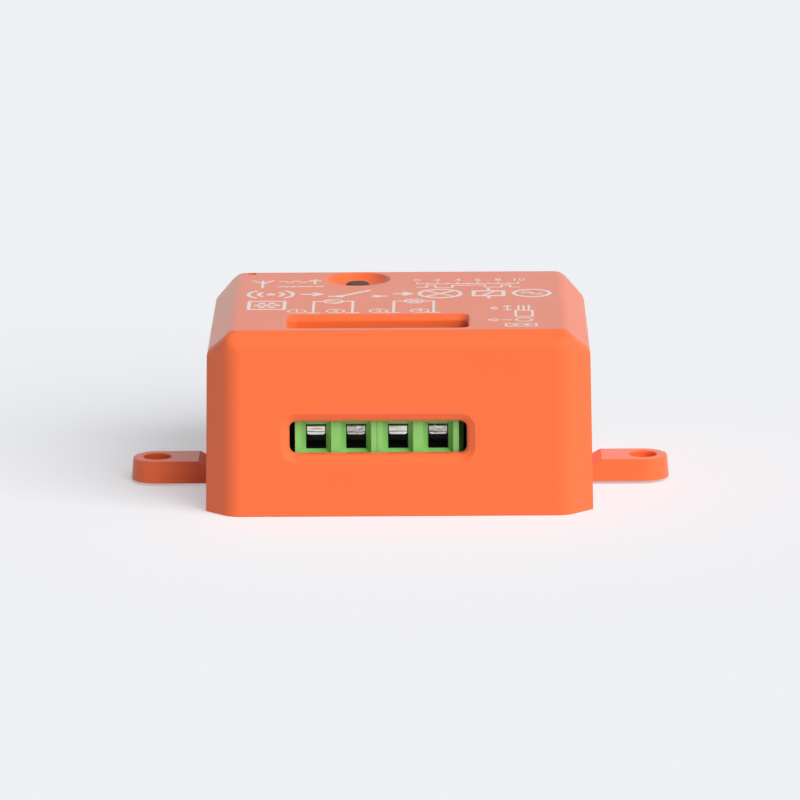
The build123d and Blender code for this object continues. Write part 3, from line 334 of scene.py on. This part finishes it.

# %% [markdown]
# ## The metals
# The wire guards are stamped from tinned strip, so they are bright with fine streaks across the
# lip, and two of them are rougher, as if pressed by a worn tool. The frames behind them lie in the
# dark, and their near-black colour is painted shade, so that their metal shows no bright room deep
# in the hole. Screws are zinc-plated: nearly as bright, a little cloudy and faintly blue. Soft iron
# in the relay is duller and the shield can is rolled tinplate, streaked along its length.

# %% Make the metals
finishes.update({
    "guard_steel": mottled("tinned_strip", (0.58, 0.57, 0.53), (0.96, 0.95, 0.90), 0.22, 1.0,
                           cloud=0.28, grain=0.08, depth=0.003, gloss=0.06, stretch=(6, 1, 1)),
    "screw_steel": mottled("zinc_plate", (0.55, 0.56, 0.58), (0.72, 0.73, 0.76), 0.30, 1.0,
                           cloud=0.5, grain=0.06, depth=0.003, gloss=0.08),
    # The frames' near-black colour is painted shade for the dark hole they sit in.
    "contact_brass": mottled("painted_shade_strip", (0.035, 0.033, 0.028), (0.06, 0.056, 0.05),
                             0.42, 0.85, cloud=0.7, grain=0.08, depth=0.003, stretch=(1, 3, 1)),
    "contact_bronze": mottled("spring_bronze", (0.62, 0.36, 0.18), (0.74, 0.46, 0.25), 0.32, 1.0,
                              cloud=0.8, grain=0.06, depth=0.002, stretch=(1, 4, 1)),
    "soft_iron": mottled("soft_iron", (0.32, 0.32, 0.31), (0.44, 0.43, 0.42), 0.45, 1.0,
                         cloud=0.9, grain=0.07, depth=0.004, gloss=0.07),
    "pin_tin": mottled("pin_tin", (0.66, 0.66, 0.65), (0.82, 0.82, 0.80), 0.28, 1.0,
                       cloud=0.4, grain=0.05, depth=0.003, gloss=0.06),
    "shield_steel": mottled("tinplate", (0.58, 0.59, 0.60), (0.72, 0.72, 0.73), 0.30, 1.0,
                            cloud=0.5, grain=0.07, depth=0.002, gloss=0.06, stretch=(1, 6, 1)),
})
worn_strip = mottled("worn_strip", (0.32, 0.31, 0.30), (0.88, 0.87, 0.83), 0.26, 1.0,
                     cloud=0.3, grain=0.34, depth=0.10, gloss=0.08, stretch=(1.8, 1, 1))
print("metals:", [name for name in finishes if "steel" in name])

# %% [markdown]
# ## Boards, cores, coatings and tape
# A circuit board is glass cloth under a green lacquer. The cloth shows as a faint grid, so its
# height is the larger of two waves that cross. Tape round the transformer shows its overlaps as
# stripes. The cans carry a dark sleeve, the varistor a glossy dip coat, and ferrite is a rough grey
# powder. A wave texture has 3.18 waves to a unit of length, which turns a pitch in millimetres into
# its scale.

# %% Make the boards, cores and coatings
WAVES_TO_A_UNIT = 3.18


def woven_board(name, dark, light, pitch=0.35):
    """Make a lacquered board through which the glass cloth faintly shows."""
    material, shader = start_finish(name, 0.32)
    tree = material.node_tree
    place = add_place(tree)
    threads = [
        add_node(tree, "ShaderNodeTexWave", {
            "Vector": place, "Scale": 1 / (WAVES_TO_A_UNIT * pitch),
        }, bands_direction=way).outputs["Fac"]
        for way in ("X", "Y")
    ]
    cloth = add_node(tree, "ShaderNodeMath", {0: threads[0], 1: threads[1]}, operation="MAXIMUM")
    add_colours(tree, shader, cloth.outputs[0], (dark, light), 0.2, 1.0)
    add_bump(tree, shader, cloth.outputs[0], 0.004)
    return material


def striped(name, colours, roughness, pitch, way, depth):
    """Make a finish with stripes across one direction, such as laps of tape."""
    material, shader = start_finish(name, roughness)
    tree = material.node_tree
    wave = add_node(tree, "ShaderNodeTexWave", {
        "Vector": add_place(tree), "Scale": 1 / (WAVES_TO_A_UNIT * pitch), "Distortion": 0.3,
        "Detail": 1.0,
    }, bands_direction=way)
    add_colours(tree, shader, wave.outputs["Fac"], colours, 0.1, 0.9)
    add_bump(tree, shader, wave.outputs["Fac"], depth)
    return material


finishes.update({
    "board_laminate": woven_board("board_green", (0.012, 0.10, 0.035), (0.02, 0.14, 0.05)),
    "radio_laminate": woven_board("radio_board_blue", (0.008, 0.03, 0.10), (0.014, 0.045, 0.14),
                                  pitch=0.28),
    "coil_copper": mottled("enamelled_wire", (0.62, 0.22, 0.08), (0.74, 0.30, 0.12), 0.25, 0.85,
                           cloud=0.9, grain=0.08, depth=0.002),
    "winding_tape": striped("yellow_tape", ((0.72, 0.46, 0.03), (0.82, 0.56, 0.06)), 0.3,
                            pitch=2.2, way="Z", depth=0.02),
    "ferrite": mottled("ferrite_grey", (0.035, 0.035, 0.037), (0.07, 0.07, 0.072),
                       0.6, cloud=0.3, grain=0.06, depth=0.01),
    "can_sleeve": mottled("can_sleeve", (0.012, 0.014, 0.03), (0.02, 0.024, 0.045),
                          0.3, cloud=2, grain=0.3, depth=0.004),
    "varistor_coat": mottled("varistor_blue", (0.01, 0.05, 0.26), (0.015, 0.07, 0.34),
                             0.25, cloud=1.4, grain=0.35, depth=0.02),
    "fuse_coat": mottled("fuse_green", (0.05, 0.16, 0.08), (0.07, 0.20, 0.11),
                         0.4, cloud=0.8, grain=0.12, depth=0.008),
    "film_case": mottled("film_grey", (0.20, 0.21, 0.22), (0.26, 0.27, 0.28),
                         0.42, cloud=2, grain=0.15, depth=0.004),
})
for name, piece in nodes.items():
    piece.data.materials.clear()
    piece.data.materials.append(finishes[slots[name]])
print("finishes:", len(finishes), "for", len(nodes), "pieces")

# %% [markdown]
# ## From a bmesh to a piece of the part
# A bmesh is Blender's editable mesh. Each new shape below ends in the same way: its faces are
# turned outwards, edges sharper than a limit stay crisp while the rest is shaded smooth, and the
# piece is told which body carries it, so that it moves with the joints.

# %% Write the helper that keeps a shape
MERGE = 0.0005


def keep_piece(name, shape, slot, body, replaced=(), sharp=40):
    """Turn a bmesh in millimetres into a piece that rides on a body."""
    bmesh.ops.remove_doubles(shape, verts=shape.verts, dist=MERGE)
    bmesh.ops.recalc_face_normals(shape, faces=shape.faces)
    bmesh.ops.scale(shape, vec=(MM, MM, MM), verts=shape.verts)
    for face in shape.faces:
        face.smooth = True
    for edge in shape.edges:
        if len(edge.link_faces) == 2:
            edge.smooth = edge.calc_face_angle() < math.radians(sharp)
    mesh = bpy.data.meshes.new(name)
    shape.to_mesh(mesh)
    shape.free()
    mesh.materials.append(finishes[slot])
    piece = bpy.data.objects.new(name, mesh)
    bpy.context.scene.collection.objects.link(piece)
    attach(piece, body)
    if replaced:
        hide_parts(*replaced)
    return piece


def box_of(node):
    """Give the lowest and highest corner of a CAD node, in millimetres."""
    low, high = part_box(node)
    return low / MM, high / MM


# %% [markdown]
# ## The wire guards
# Behind each wire entry sits a bent strip. The screw presses on its flat top and drives it down on
# the wire, and its lip keeps the wire from slipping beside it. Grooves are pressed across the lip,
# so it grips, and they show in the photograph as bright and dark lines. The shape starts from one
# edge across the back of the strip. It is extruded forward, spun through the bend, and extruded
# down with small steps in and out for the grooves. Cutting planes round the two lower corners, and
# the sheet gets its thickness last.

# %% Make the wire guards
GUARD_SHEET = 0.35
GUARD_BEND = 0.55
GUARD_CORNER = 0.3
CORNER_CUTS = (22.5, 45, 67.5)
BEND_STEPS = 10
NEAT_LIP = ((0.06, 0.05), (-0.06, 0.11), (0, 0.14),
            (0.09, 0.06), (-0.09, 0.13), (0, 0.31))
WORN_LIP = ((0, 0.08), (0.08, 0.06), (-0.05, 0.10), (0, 0.08),
            (0.10, 0.08), (0, 0.04), (-0.13, 0.14), (0, 0.22))


def all_parts(shape):
    """Give a bmesh's corners, edges and faces in one list."""
    return list(shape.verts) + list(shape.edges) + list(shape.faces)


def extrude_row(shape, row, forward, down):
    """Extrude a row of edges by a step, and give the new row."""
    grown = bmesh.ops.extrude_edge_only(shape, edges=row)["geom"]
    corners = [part for part in grown if isinstance(part, bmesh.types.BMVert)]
    bmesh.ops.translate(shape, verts=corners, vec=(0, forward, down))
    return [part for part in grown if isinstance(part, bmesh.types.BMEdge)
            and all(corner in corners for corner in part.verts)]


def make_guard(number, grooves):
    """Fold a grooved guard in the place of its CAD node."""
    node = f"wire_guard_{number}"
    low, high = box_of(node)
    shape = bmesh.new()
    ends = [shape.verts.new((x, high.y, high.z)) for x in (low.x, high.x)]
    row = [shape.edges.new(ends)]
    row = extrude_row(shape, row, low.y + GUARD_BEND - high.y, 0)
    bend = bmesh.ops.spin(
        shape, geom=row + [corner for edge in row for corner in edge.verts],
        cent=(0, low.y + GUARD_BEND, high.z - GUARD_BEND), axis=(1, 0, 0), dvec=(0, 0, 0),
        angle=math.pi / 2, steps=BEND_STEPS, use_merge=False,
    )["geom_last"]
    row = [part for part in bend if isinstance(part, bmesh.types.BMEdge)]
    for inward, down in grooves:
        row = extrude_row(shape, row, inward, -down)
    middle = (low.x + high.x) / 2
    reach = (high.x - low.x) / 2 - GUARD_CORNER
    for side in (-1, 1):
        centre = Vector((middle + side * reach, 0, low.z + GUARD_CORNER))
        for turn in CORNER_CUTS:
            out = Vector((side * math.cos(math.radians(turn)), 0, -math.sin(math.radians(turn))))
            bmesh.ops.bisect_plane(
                shape, geom=all_parts(shape), plane_co=centre + out * GUARD_CORNER, plane_no=out,
                clear_outer=True,
            )
    bmesh.ops.recalc_face_normals(shape, faces=shape.faces)
    top = max(shape.faces, key=lambda face: face.calc_center_median().y)
    if top.normal.z < 0:
        bmesh.ops.reverse_faces(shape, faces=shape.faces)
    bmesh.ops.solidify(shape, geom=list(shape.faces), thickness=GUARD_SHEET)
    return keep_piece(f"ribbed_{node}", shape, "guard_steel", f"guard_{number}", [node], sharp=30)


for number in (1, 3):
    make_guard(number, NEAT_LIP)
for number in (2, 4):
    guard = make_guard(number, WORN_LIP)
    guard.data.materials[0] = worn_strip
print("guard size:", [round(side / MM, 2) for side in guard.dimensions])

# %% [markdown]
# ## The terminal screws
# Under the slot on top, four screws wait for a blade. The solid model gives them a plain shank,
# because a joint turns more easily without a thread. Here the head is kept and the shank is cut
# off, and a threaded one takes its place. A thread is one V-shaped step that climbs as it goes
# round, which is a spin with a rise at every step. The spin starts below the tip and ends above the
# neck, so that two cuts leave flat ends.

# %% Make the threaded screws
THREAD_PITCH = 0.45
THREAD_ROOT = 1.02
THREAD_CREST = 1.245
TURN_STEPS = 20
SCREW_HEAD = 1.4
NECK_STUB = 0.05
THREAD_LAP = 0.1


def cut_flat(shape, height, way):
    """Cut away what lies above a height, or below it with way at -1, and close the cut."""
    bmesh.ops.bisect_plane(
        shape, geom=all_parts(shape), plane_co=(0, 0, height), plane_no=(0, 0, way),
        clear_outer=True,
    )
    bmesh.ops.holes_fill(shape, edges=shape.edges, sides=0)


def make_thread(centre, low, high):
    """Spin a threaded shank between two heights."""
    shape = bmesh.new()
    start = low - 2 * THREAD_PITCH
    steps = ((THREAD_ROOT, 0), (THREAD_CREST, THREAD_PITCH / 2), (THREAD_ROOT, THREAD_PITCH))
    corners = [shape.verts.new((centre.x + out, centre.y, start + rise)) for out, rise in steps]
    profile = [shape.edges.new(pair) for pair in zip(corners, corners[1:])]
    turns = math.ceil((high - start) / THREAD_PITCH) + 1
    bmesh.ops.spin(
        shape, geom=corners + profile, cent=(centre.x, centre.y, 0), axis=(0, 0, 1),
        dvec=(0, 0, THREAD_PITCH / TURN_STEPS), angle=2 * math.pi * turns, steps=TURN_STEPS * turns,
        use_merge=False,
    )
    bmesh.ops.remove_doubles(shape, verts=shape.verts, dist=2 * MERGE)
    cut_flat(shape, low, -1)
    cut_flat(shape, high, 1)
    return shape


def make_screw(number):
    """Join the head of a terminal screw to a threaded shank."""
    node = f"terminal_screw_{number}"
    low, high = box_of(node)
    neck = high.z - SCREW_HEAD
    shape = bmesh.new()
    shape.from_mesh(nodes[node].data)
    bmesh.ops.scale(shape, vec=(1 / MM, 1 / MM, 1 / MM), verts=shape.verts)
    bmesh.ops.remove_doubles(shape, verts=shape.verts, dist=MERGE)
    cut_flat(shape, neck - NECK_STUB, -1)
    thread = make_thread((low + high) / 2, low.z, neck + THREAD_LAP)
    thread_mesh = bpy.data.meshes.new("thread")
    thread.to_mesh(thread_mesh)
    thread.free()
    shape.from_mesh(thread_mesh)
    bpy.data.meshes.remove(thread_mesh)
    return keep_piece(f"threaded_screw_{number}", shape, "screw_steel", f"screw_{number}", [node],
                      sharp=35)


screws = [make_screw(number) for number in (1, 2, 3, 4)]
print("screw size:", [round(side / MM, 2) for side in screws[0].dimensions])

# %% [markdown]
# ## The wound coils
# The choke and the relay's coil are hundreds of turns of enamelled wire. Only the outer layer
# shows, so the layers below are one tube, and the outer layer is a ring, as thick as the wire, that
# climbs round it, turn on turn.

# %% Wind the coils
WIRE_SIDES = 8
CHOKE_WIRE = 0.31
CHOKE_INNER = 1.61
RELAY_WIRE = 0.2
RELAY_INNER = 2.05


def wind_coil(name, node, wire, inner_radius):
    """Wind a layer of wire over a tube in the place of a CAD node."""
    low, high = box_of(node)
    centre = (low + high) / 2
    outer_radius = (high.x - low.x) / 2
    shape = bmesh.new()
    place = Matrix.Translation((centre.x + outer_radius - wire / 2, centre.y, low.z + wire / 2))
    ring = bmesh.ops.create_circle(
        shape, segments=WIRE_SIDES, radius=wire / 2,
        matrix=place @ Matrix.Rotation(math.pi / 2, 4, "X"),
    )["verts"]
    turns = int((high.z - low.z) / wire) - 1
    bmesh.ops.spin(
        shape, geom=ring + list(shape.edges), cent=centre, axis=(0, 0, 1),
        dvec=(0, 0, wire / TURN_STEPS), angle=2 * math.pi * turns, steps=TURN_STEPS * turns,
        use_merge=False,
    )
    bmesh.ops.holes_fill(shape, edges=shape.edges, sides=0)
    tube = [(inner_radius, low.z), (outer_radius - wire / 2, low.z),
            (outer_radius - wire / 2, high.z), (inner_radius, high.z)]
    corners = [shape.verts.new((centre.x + out, centre.y, height)) for out, height in tube]
    sides = [shape.edges.new((corners[step - 1], corners[step])) for step in range(4)]
    bmesh.ops.spin(
        shape, geom=corners + sides, cent=centre, axis=(0, 0, 1), dvec=(0, 0, 0),
        angle=2 * math.pi, steps=2 * TURN_STEPS, use_merge=True,
    )
    keep_piece(name, shape, "coil_copper", "root", [node], sharp=60)
    return turns


choke_turns = wind_coil("choke_turns", "choke_wire", CHOKE_WIRE, CHOKE_INNER)
relay_turns = wind_coil("relay_coil_turns", "relay_coil", RELAY_WIRE, RELAY_INNER)
print("turns of the choke:", choke_turns)
print("turns of the relay's coil:", relay_turns)

# %% [markdown]
# ## The snap dome
# Out of sight, the long button stands on a thin bronze dome that clicks when it is pressed. Its
# shape is the cap of a large ball, cut off by a plane, with a wall as thick as the sheet.

# %% Make the snap dome
DOME_BALL = 5.09
DOME_SIDES = 40
DOME_RINGS = 70
DOME_RISE = 0.5
DOME_SHEET = 0.1


def make_dome():
    """Cut a dome from a ball in the place of its CAD node."""
    low, high = box_of("key_dome")
    centre = (low + high) / 2
    shape = bmesh.new()
    bmesh.ops.create_uvsphere(
        shape, u_segments=DOME_SIDES, v_segments=DOME_RINGS, radius=DOME_BALL,
    )
    bmesh.ops.bisect_plane(
        shape, geom=all_parts(shape), plane_co=(0, 0, DOME_BALL - DOME_RISE), plane_no=(0, 0, -1),
        clear_outer=True,
    )
    bmesh.ops.solidify(shape, geom=list(shape.faces), thickness=DOME_SHEET)
    bmesh.ops.translate(shape, verts=shape.verts, vec=(centre.x, centre.y, high.z - DOME_BALL))
    dome = keep_piece("snap_dome", shape, "contact_bronze", "root", ["key_dome"])
    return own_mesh(dome)


dome = make_dome()
heights = [corner.co.z / MM for corner in dome.data.vertices]
print("dome from", round(min(heights), 3), "to", round(max(heights), 3))

# %% [markdown]
# ## The print on the lid
# The lid carries pale pad printing: what to connect where, and how far to strip a wire. Here it is
# a set of plain drawing symbols and numbers. Every stroke is a flat bar, ring or disc, and the
# whole print is given the thickness of ink at the end, so that it stands a hair proud of the lid.
# Strokes cross and overlap, and two faces in one plane would spoil each other's shading, so each
# stroke lies less than a thousandth of a millimetre above the last one. The count starts again
# after 23 strokes, which keeps strokes that overlap on layers of their own.

# %% Write the helpers that draw with ink
INK_HEIGHT = 0.016
INK_SUNK = 0.012
INK_STEP = 0.0007
INK_LAYERS = 23
DOT_SIDES = 24
ARC_STEP = 9
ARROW_SPREAD = 40
FONT_SCALE = 1.37
lid_height = box_of("casing")[1].z
ink = bmesh.new()
strokes_drawn = itertools.count()


def on_layer(centre):
    """Put a point of the drawing on the next layer of ink."""
    layer = next(strokes_drawn) % INK_LAYERS
    return Vector((centre[0], centre[1], layer * INK_STEP))


def bar(start, end, width):
    """Draw a straight stroke with square ends."""
    start, end = Vector(start), Vector(end)
    along = end - start
    place = Matrix.Translation(on_layer((start + end) / 2))
    turn = Matrix.Rotation(math.atan2(along.y, along.x), 4, "Z")
    size = Matrix.Diagonal((along.length, width, 1, 1))
    bmesh.ops.create_grid(ink, x_segments=1, y_segments=1, size=0.5, matrix=place @ turn @ size)


def dot(centre, radius):
    """Draw a filled disc."""
    place = Matrix.Translation(on_layer(centre))
    bmesh.ops.create_circle(ink, cap_ends=True, segments=DOT_SIDES, radius=radius, matrix=place)


def stroke(points, width):
    """Draw a chain of bars with round corners and ends."""
    for start, end in zip(points, points[1:]):
        bar(start, end, width)
    for point in points:
        dot(point, width / 2)


def arc(centre, radius, width, start=0, end=360):
    """Draw a ring or a part of it, by spinning an edge as long as the stroke is wide."""
    centre = on_layer(centre)
    way = Vector((math.cos(math.radians(start)), math.sin(math.radians(start)), 0))
    corners = [ink.verts.new(centre + way * (radius + side * width / 2)) for side in (-1, 1)]
    edge = ink.edges.new(corners)
    steps = max(4, round((end - start) / ARC_STEP))
    bmesh.ops.spin(
        ink, geom=[*corners, edge], cent=centre, axis=(0, 0, 1), dvec=(0, 0, 0),
        angle=math.radians(end - start), steps=steps, use_merge=end - start == 360,
    )


def print_number(text, centre, height):
    """Print a plain number, from Blender's own font made a mesh."""
    curve = bpy.data.curves.new("number", "FONT")
    curve.body = text
    curve.size = height * FONT_SCALE
    curve.align_x = "CENTER"
    curve.align_y = "CENTER"
    text_object = bpy.data.objects.new("number", curve)
    mesh = bpy.data.meshes.new_from_object(text_object)
    mesh.transform(Matrix.Translation(on_layer(centre)))
    ink.from_mesh(mesh)
    bpy.data.objects.remove(text_object)
    bpy.data.meshes.remove(mesh)


def arrow(start, end, width, head):
    """Draw an arrow with an open head."""
    start, end = Vector(start), Vector(end)
    back = (start - end).normalized() * head
    stroke((start, end), width)
    for turn in (-ARROW_SPREAD, ARROW_SPREAD):
        tip = back.copy()
        tip.rotate(Matrix.Rotation(math.radians(turn), 2))
        stroke((end, end + tip), width)


def wave(start, radius, count, width):
    """Draw a wavy line from left to right as a row of half rings."""
    for step in range(count):
        centre = (start[0] + radius * (2 * step + 1), start[1])
        turn = 0 if step % 2 == 0 else 180
        arc(centre, radius, width, turn, turn + 180)


print("lid at:", round(lid_height, 3))

# %% [markdown]
# ### The row of symbols
# The widest marks stand in one row across the lid: radio waves, a switch that they close, a lamp, a
# relay's coil and the mains as a wave in a ring. Arrows lead from one to the next. Their strokes
# are half a millimetre wide, because the lid is seen so flat that a thin line would vanish.

# %% Draw the row of symbols
BROAD = 0.52
LIGHT = 0.4
PIVOT = 0.62
HEAD = 1.3
ROW = 4.0
RADIO_X = -16.4
LAMP_X = 5.2
LAMP_CROSS = 1.8
MAINS_X = 16.9
dot((RADIO_X, ROW), PIVOT)
for reach in (1.55, 2.85):
    arc((RADIO_X, ROW), reach, BROAD, -52, 52)
    arc((RADIO_X, ROW), reach, BROAD, 128, 232)
arrow((-12.4, ROW), (-9.9, ROW), BROAD, HEAD)
stroke(((-8.9, 2.6), (-7.6, 2.6), (-3.9, 6.2)), BROAD)
stroke(((-2.9, 2.6), (-1.7, 2.6)), BROAD)
dot((-7.6, 2.6), PIVOT)
dot((-2.9, 2.6), PIVOT)
arrow((-0.6, ROW), (1.6, ROW), BROAD, HEAD)
arc((LAMP_X, ROW), 2.65, BROAD)
for side in (-1, 1):
    stroke(((LAMP_X - LAMP_CROSS, ROW - LAMP_CROSS * side),
            (LAMP_X + LAMP_CROSS, ROW + LAMP_CROSS * side)), LIGHT)
stroke(((9.5, 2.5), (13.3, 2.5), (13.3, 5.5), (9.5, 5.5), (9.5, 2.5)), BROAD)
stroke(((10.5, 2.5), (12.3, 5.5)), LIGHT)
stroke(((11.4, 5.5), (11.4, 7.0)), LIGHT)
stroke(((11.4, 2.5), (11.4, 1.0)), LIGHT)
arc((MAINS_X, ROW), 2.3, BROAD)
wave((15.7, ROW), 0.6, 2, LIGHT)
print("faces of ink:", len(ink.faces))

# %% [markdown]
# ### Two smaller blocks behind it
# On the left an aerial and its wave stand beside an arrow, with a line of dashes before them. On
# the right a scale from 0 to 10 stands above the pulses of short and long presses of the button.

# %% Draw the aerial block and the scale
FINE = 0.28
MEDIUM = 0.34
DIGIT = 1.35
SCALE_LEFT = 2.3
SCALE_LEVEL = 10.2
SCALE_STEP = 1.3
stroke(((-17.6, 8.2), (-17.6, 12.6)), MEDIUM)
stroke(((-18.9, 12.7), (-17.6, 11.0), (-16.3, 12.7)), MEDIUM)
wave((-15.4, 12.0), 0.42, 4, FINE)
arrow((-10.9, 10.6), (-10.9, 13.2), 0.36, 1.1)
for start, length in ((-15.4, 1.0), (-13.9, 0.5), (-12.9, 1.6), (-10.8, 0.9)):
    stroke(((start, 8.9), (start + length, 8.9)), 0.42)
for step in range(6):
    print_number(str(2 * step), (SCALE_LEFT + 2 * SCALE_STEP * step, 12.6), DIGIT)
stroke(((SCALE_LEFT, SCALE_LEVEL), (SCALE_LEFT + 10 * SCALE_STEP, SCALE_LEVEL)), FINE)
for step in range(11):
    tick = SCALE_LEFT + SCALE_STEP * step
    stroke(((tick, SCALE_LEVEL), (tick, 11.1 if step % 2 == 0 else 10.7)), 0.22)
PULSE_LOW = 7.9
PULSE_HIGH = 9.2
pulses = [(SCALE_LEFT, PULSE_LOW)]
for start, end in ((3.5, 4.6), (6.8, 11.0), (13.1, 14.2)):
    pulses += [(start, PULSE_LOW), (start, PULSE_HIGH), (end, PULSE_HIGH), (end, PULSE_LOW)]
stroke([*pulses, (15.4, PULSE_LOW)], FINE)
print("faces of ink:", len(ink.faces))

# %% [markdown]
# ### The wiring diagram
# In front of the row, two pairs of legs run down to the four terminals. A source closes the first
# pair and a lamp the second, and a ringed number stands beside each leg. The frame at the left
# shows the strands of a wire's end.

# %% Draw the wiring diagram
LEGS = (-10.8, -5.85, -0.66, 4.39)
LEG_TOP = -0.6
LEG_FOOT = -7.6
FOOT_REACH = 0.75
SIGN_RADIUS = 1.15
SIGN_CROSS = 0.75
THIN = 0.26
NUMBER_GAPS = (2.05, 2.15, 1.9, 1.75)
NUMBER_LEVEL = -6.5
WIRE_END = (-16.75, -2.8)
STRAND = 0.45
STRAND_RING = 1.25
for pair, (left, right) in enumerate((LEGS[:2], LEGS[2:])):
    middle = (left + right) / 2
    for leg in (left, right):
        stroke(((leg, LEG_TOP), (leg, LEG_FOOT)), MEDIUM)
        stroke(((leg - FOOT_REACH, LEG_FOOT), (leg + FOOT_REACH, LEG_FOOT)), MEDIUM)
    stroke(((left, LEG_TOP), (middle - SIGN_RADIUS, LEG_TOP)), MEDIUM)
    stroke(((middle + SIGN_RADIUS, LEG_TOP), (right, LEG_TOP)), MEDIUM)
    arc((middle, LEG_TOP), SIGN_RADIUS, MEDIUM)
    if pair == 0:
        wave((middle - 0.7, LEG_TOP), 0.35, 2, THIN)
    else:
        for side in (-1, 1):
            stroke(((middle - SIGN_CROSS, LEG_TOP - SIGN_CROSS * side),
                    (middle + SIGN_CROSS, LEG_TOP + SIGN_CROSS * side)), THIN)
for place, (leg, gap) in enumerate(zip(LEGS, NUMBER_GAPS), start=1):
    arc((leg - gap, NUMBER_LEVEL), 1.12, 0.22)
    print_number(str(place), (leg - gap, NUMBER_LEVEL), DIGIT)
stroke(((-19.0, -5.3), (-14.5, -5.3), (-14.5, -0.3), (-19.0, -0.3), (-19.0, -5.3)), 0.46)
dot(WIRE_END, STRAND)
for step in range(6):
    turn = math.radians(60 * step)
    dot((WIRE_END[0] + STRAND_RING * math.cos(turn), WIRE_END[1] + STRAND_RING * math.sin(turn)),
        STRAND)
print("faces of ink:", len(ink.faces))

# %% [markdown]
# ### The stripping gauge
# At the right front a wire with three bare strands stands beside a dimension line and the number 6:
# strip six millimetres. Two rings under it stand for the thinnest and the thickest wire, and a
# small frame with two dots closes the column. The layer of ink then gets its thickness and becomes
# a piece of the casing's body.

# %% Draw the gauge and keep the print
stroke(((14.7, -10.4), (14.7, -6.7), (16.8, -6.7), (16.8, -10.4), (14.7, -10.4)), 0.32)
for strand in (15.1, 15.75, 16.4):
    stroke(((strand, -6.7), (strand, -3.7)), THIN)
arrow((13.7, -5.2), (13.7, -3.7), 0.24, 0.7)
arrow((13.7, -5.2), (13.7, -6.7), 0.24, 0.7)
print_number("6", (12.0, -5.2), 1.7)
arc((11.9, -12.4), 0.55, THIN)
stroke(((13.0, -12.4), (14.1, -12.4)), 0.3)
arc((15.7, -12.4), 1.0, 0.3)
stroke(((13.4, -16.3), (17.2, -16.3), (17.2, -14.7), (13.4, -14.7), (13.4, -16.3)), THIN)
dot((14.6, -15.5), 0.36)
dot((16.0, -15.5), 0.36)
flat = list(ink.faces)
bmesh.ops.translate(ink, verts=ink.verts, vec=(0, 0, lid_height - INK_SUNK))
grown = bmesh.ops.extrude_face_region(ink, geom=flat)["geom"]
raised = [part for part in grown if isinstance(part, bmesh.types.BMVert)]
bmesh.ops.translate(ink, verts=raised, vec=(0, 0, INK_HEIGHT))
lid_print = keep_piece("lid_print", ink, "print_ink", "root")
print("ink:", len(lid_print.data.polygons), "faces")
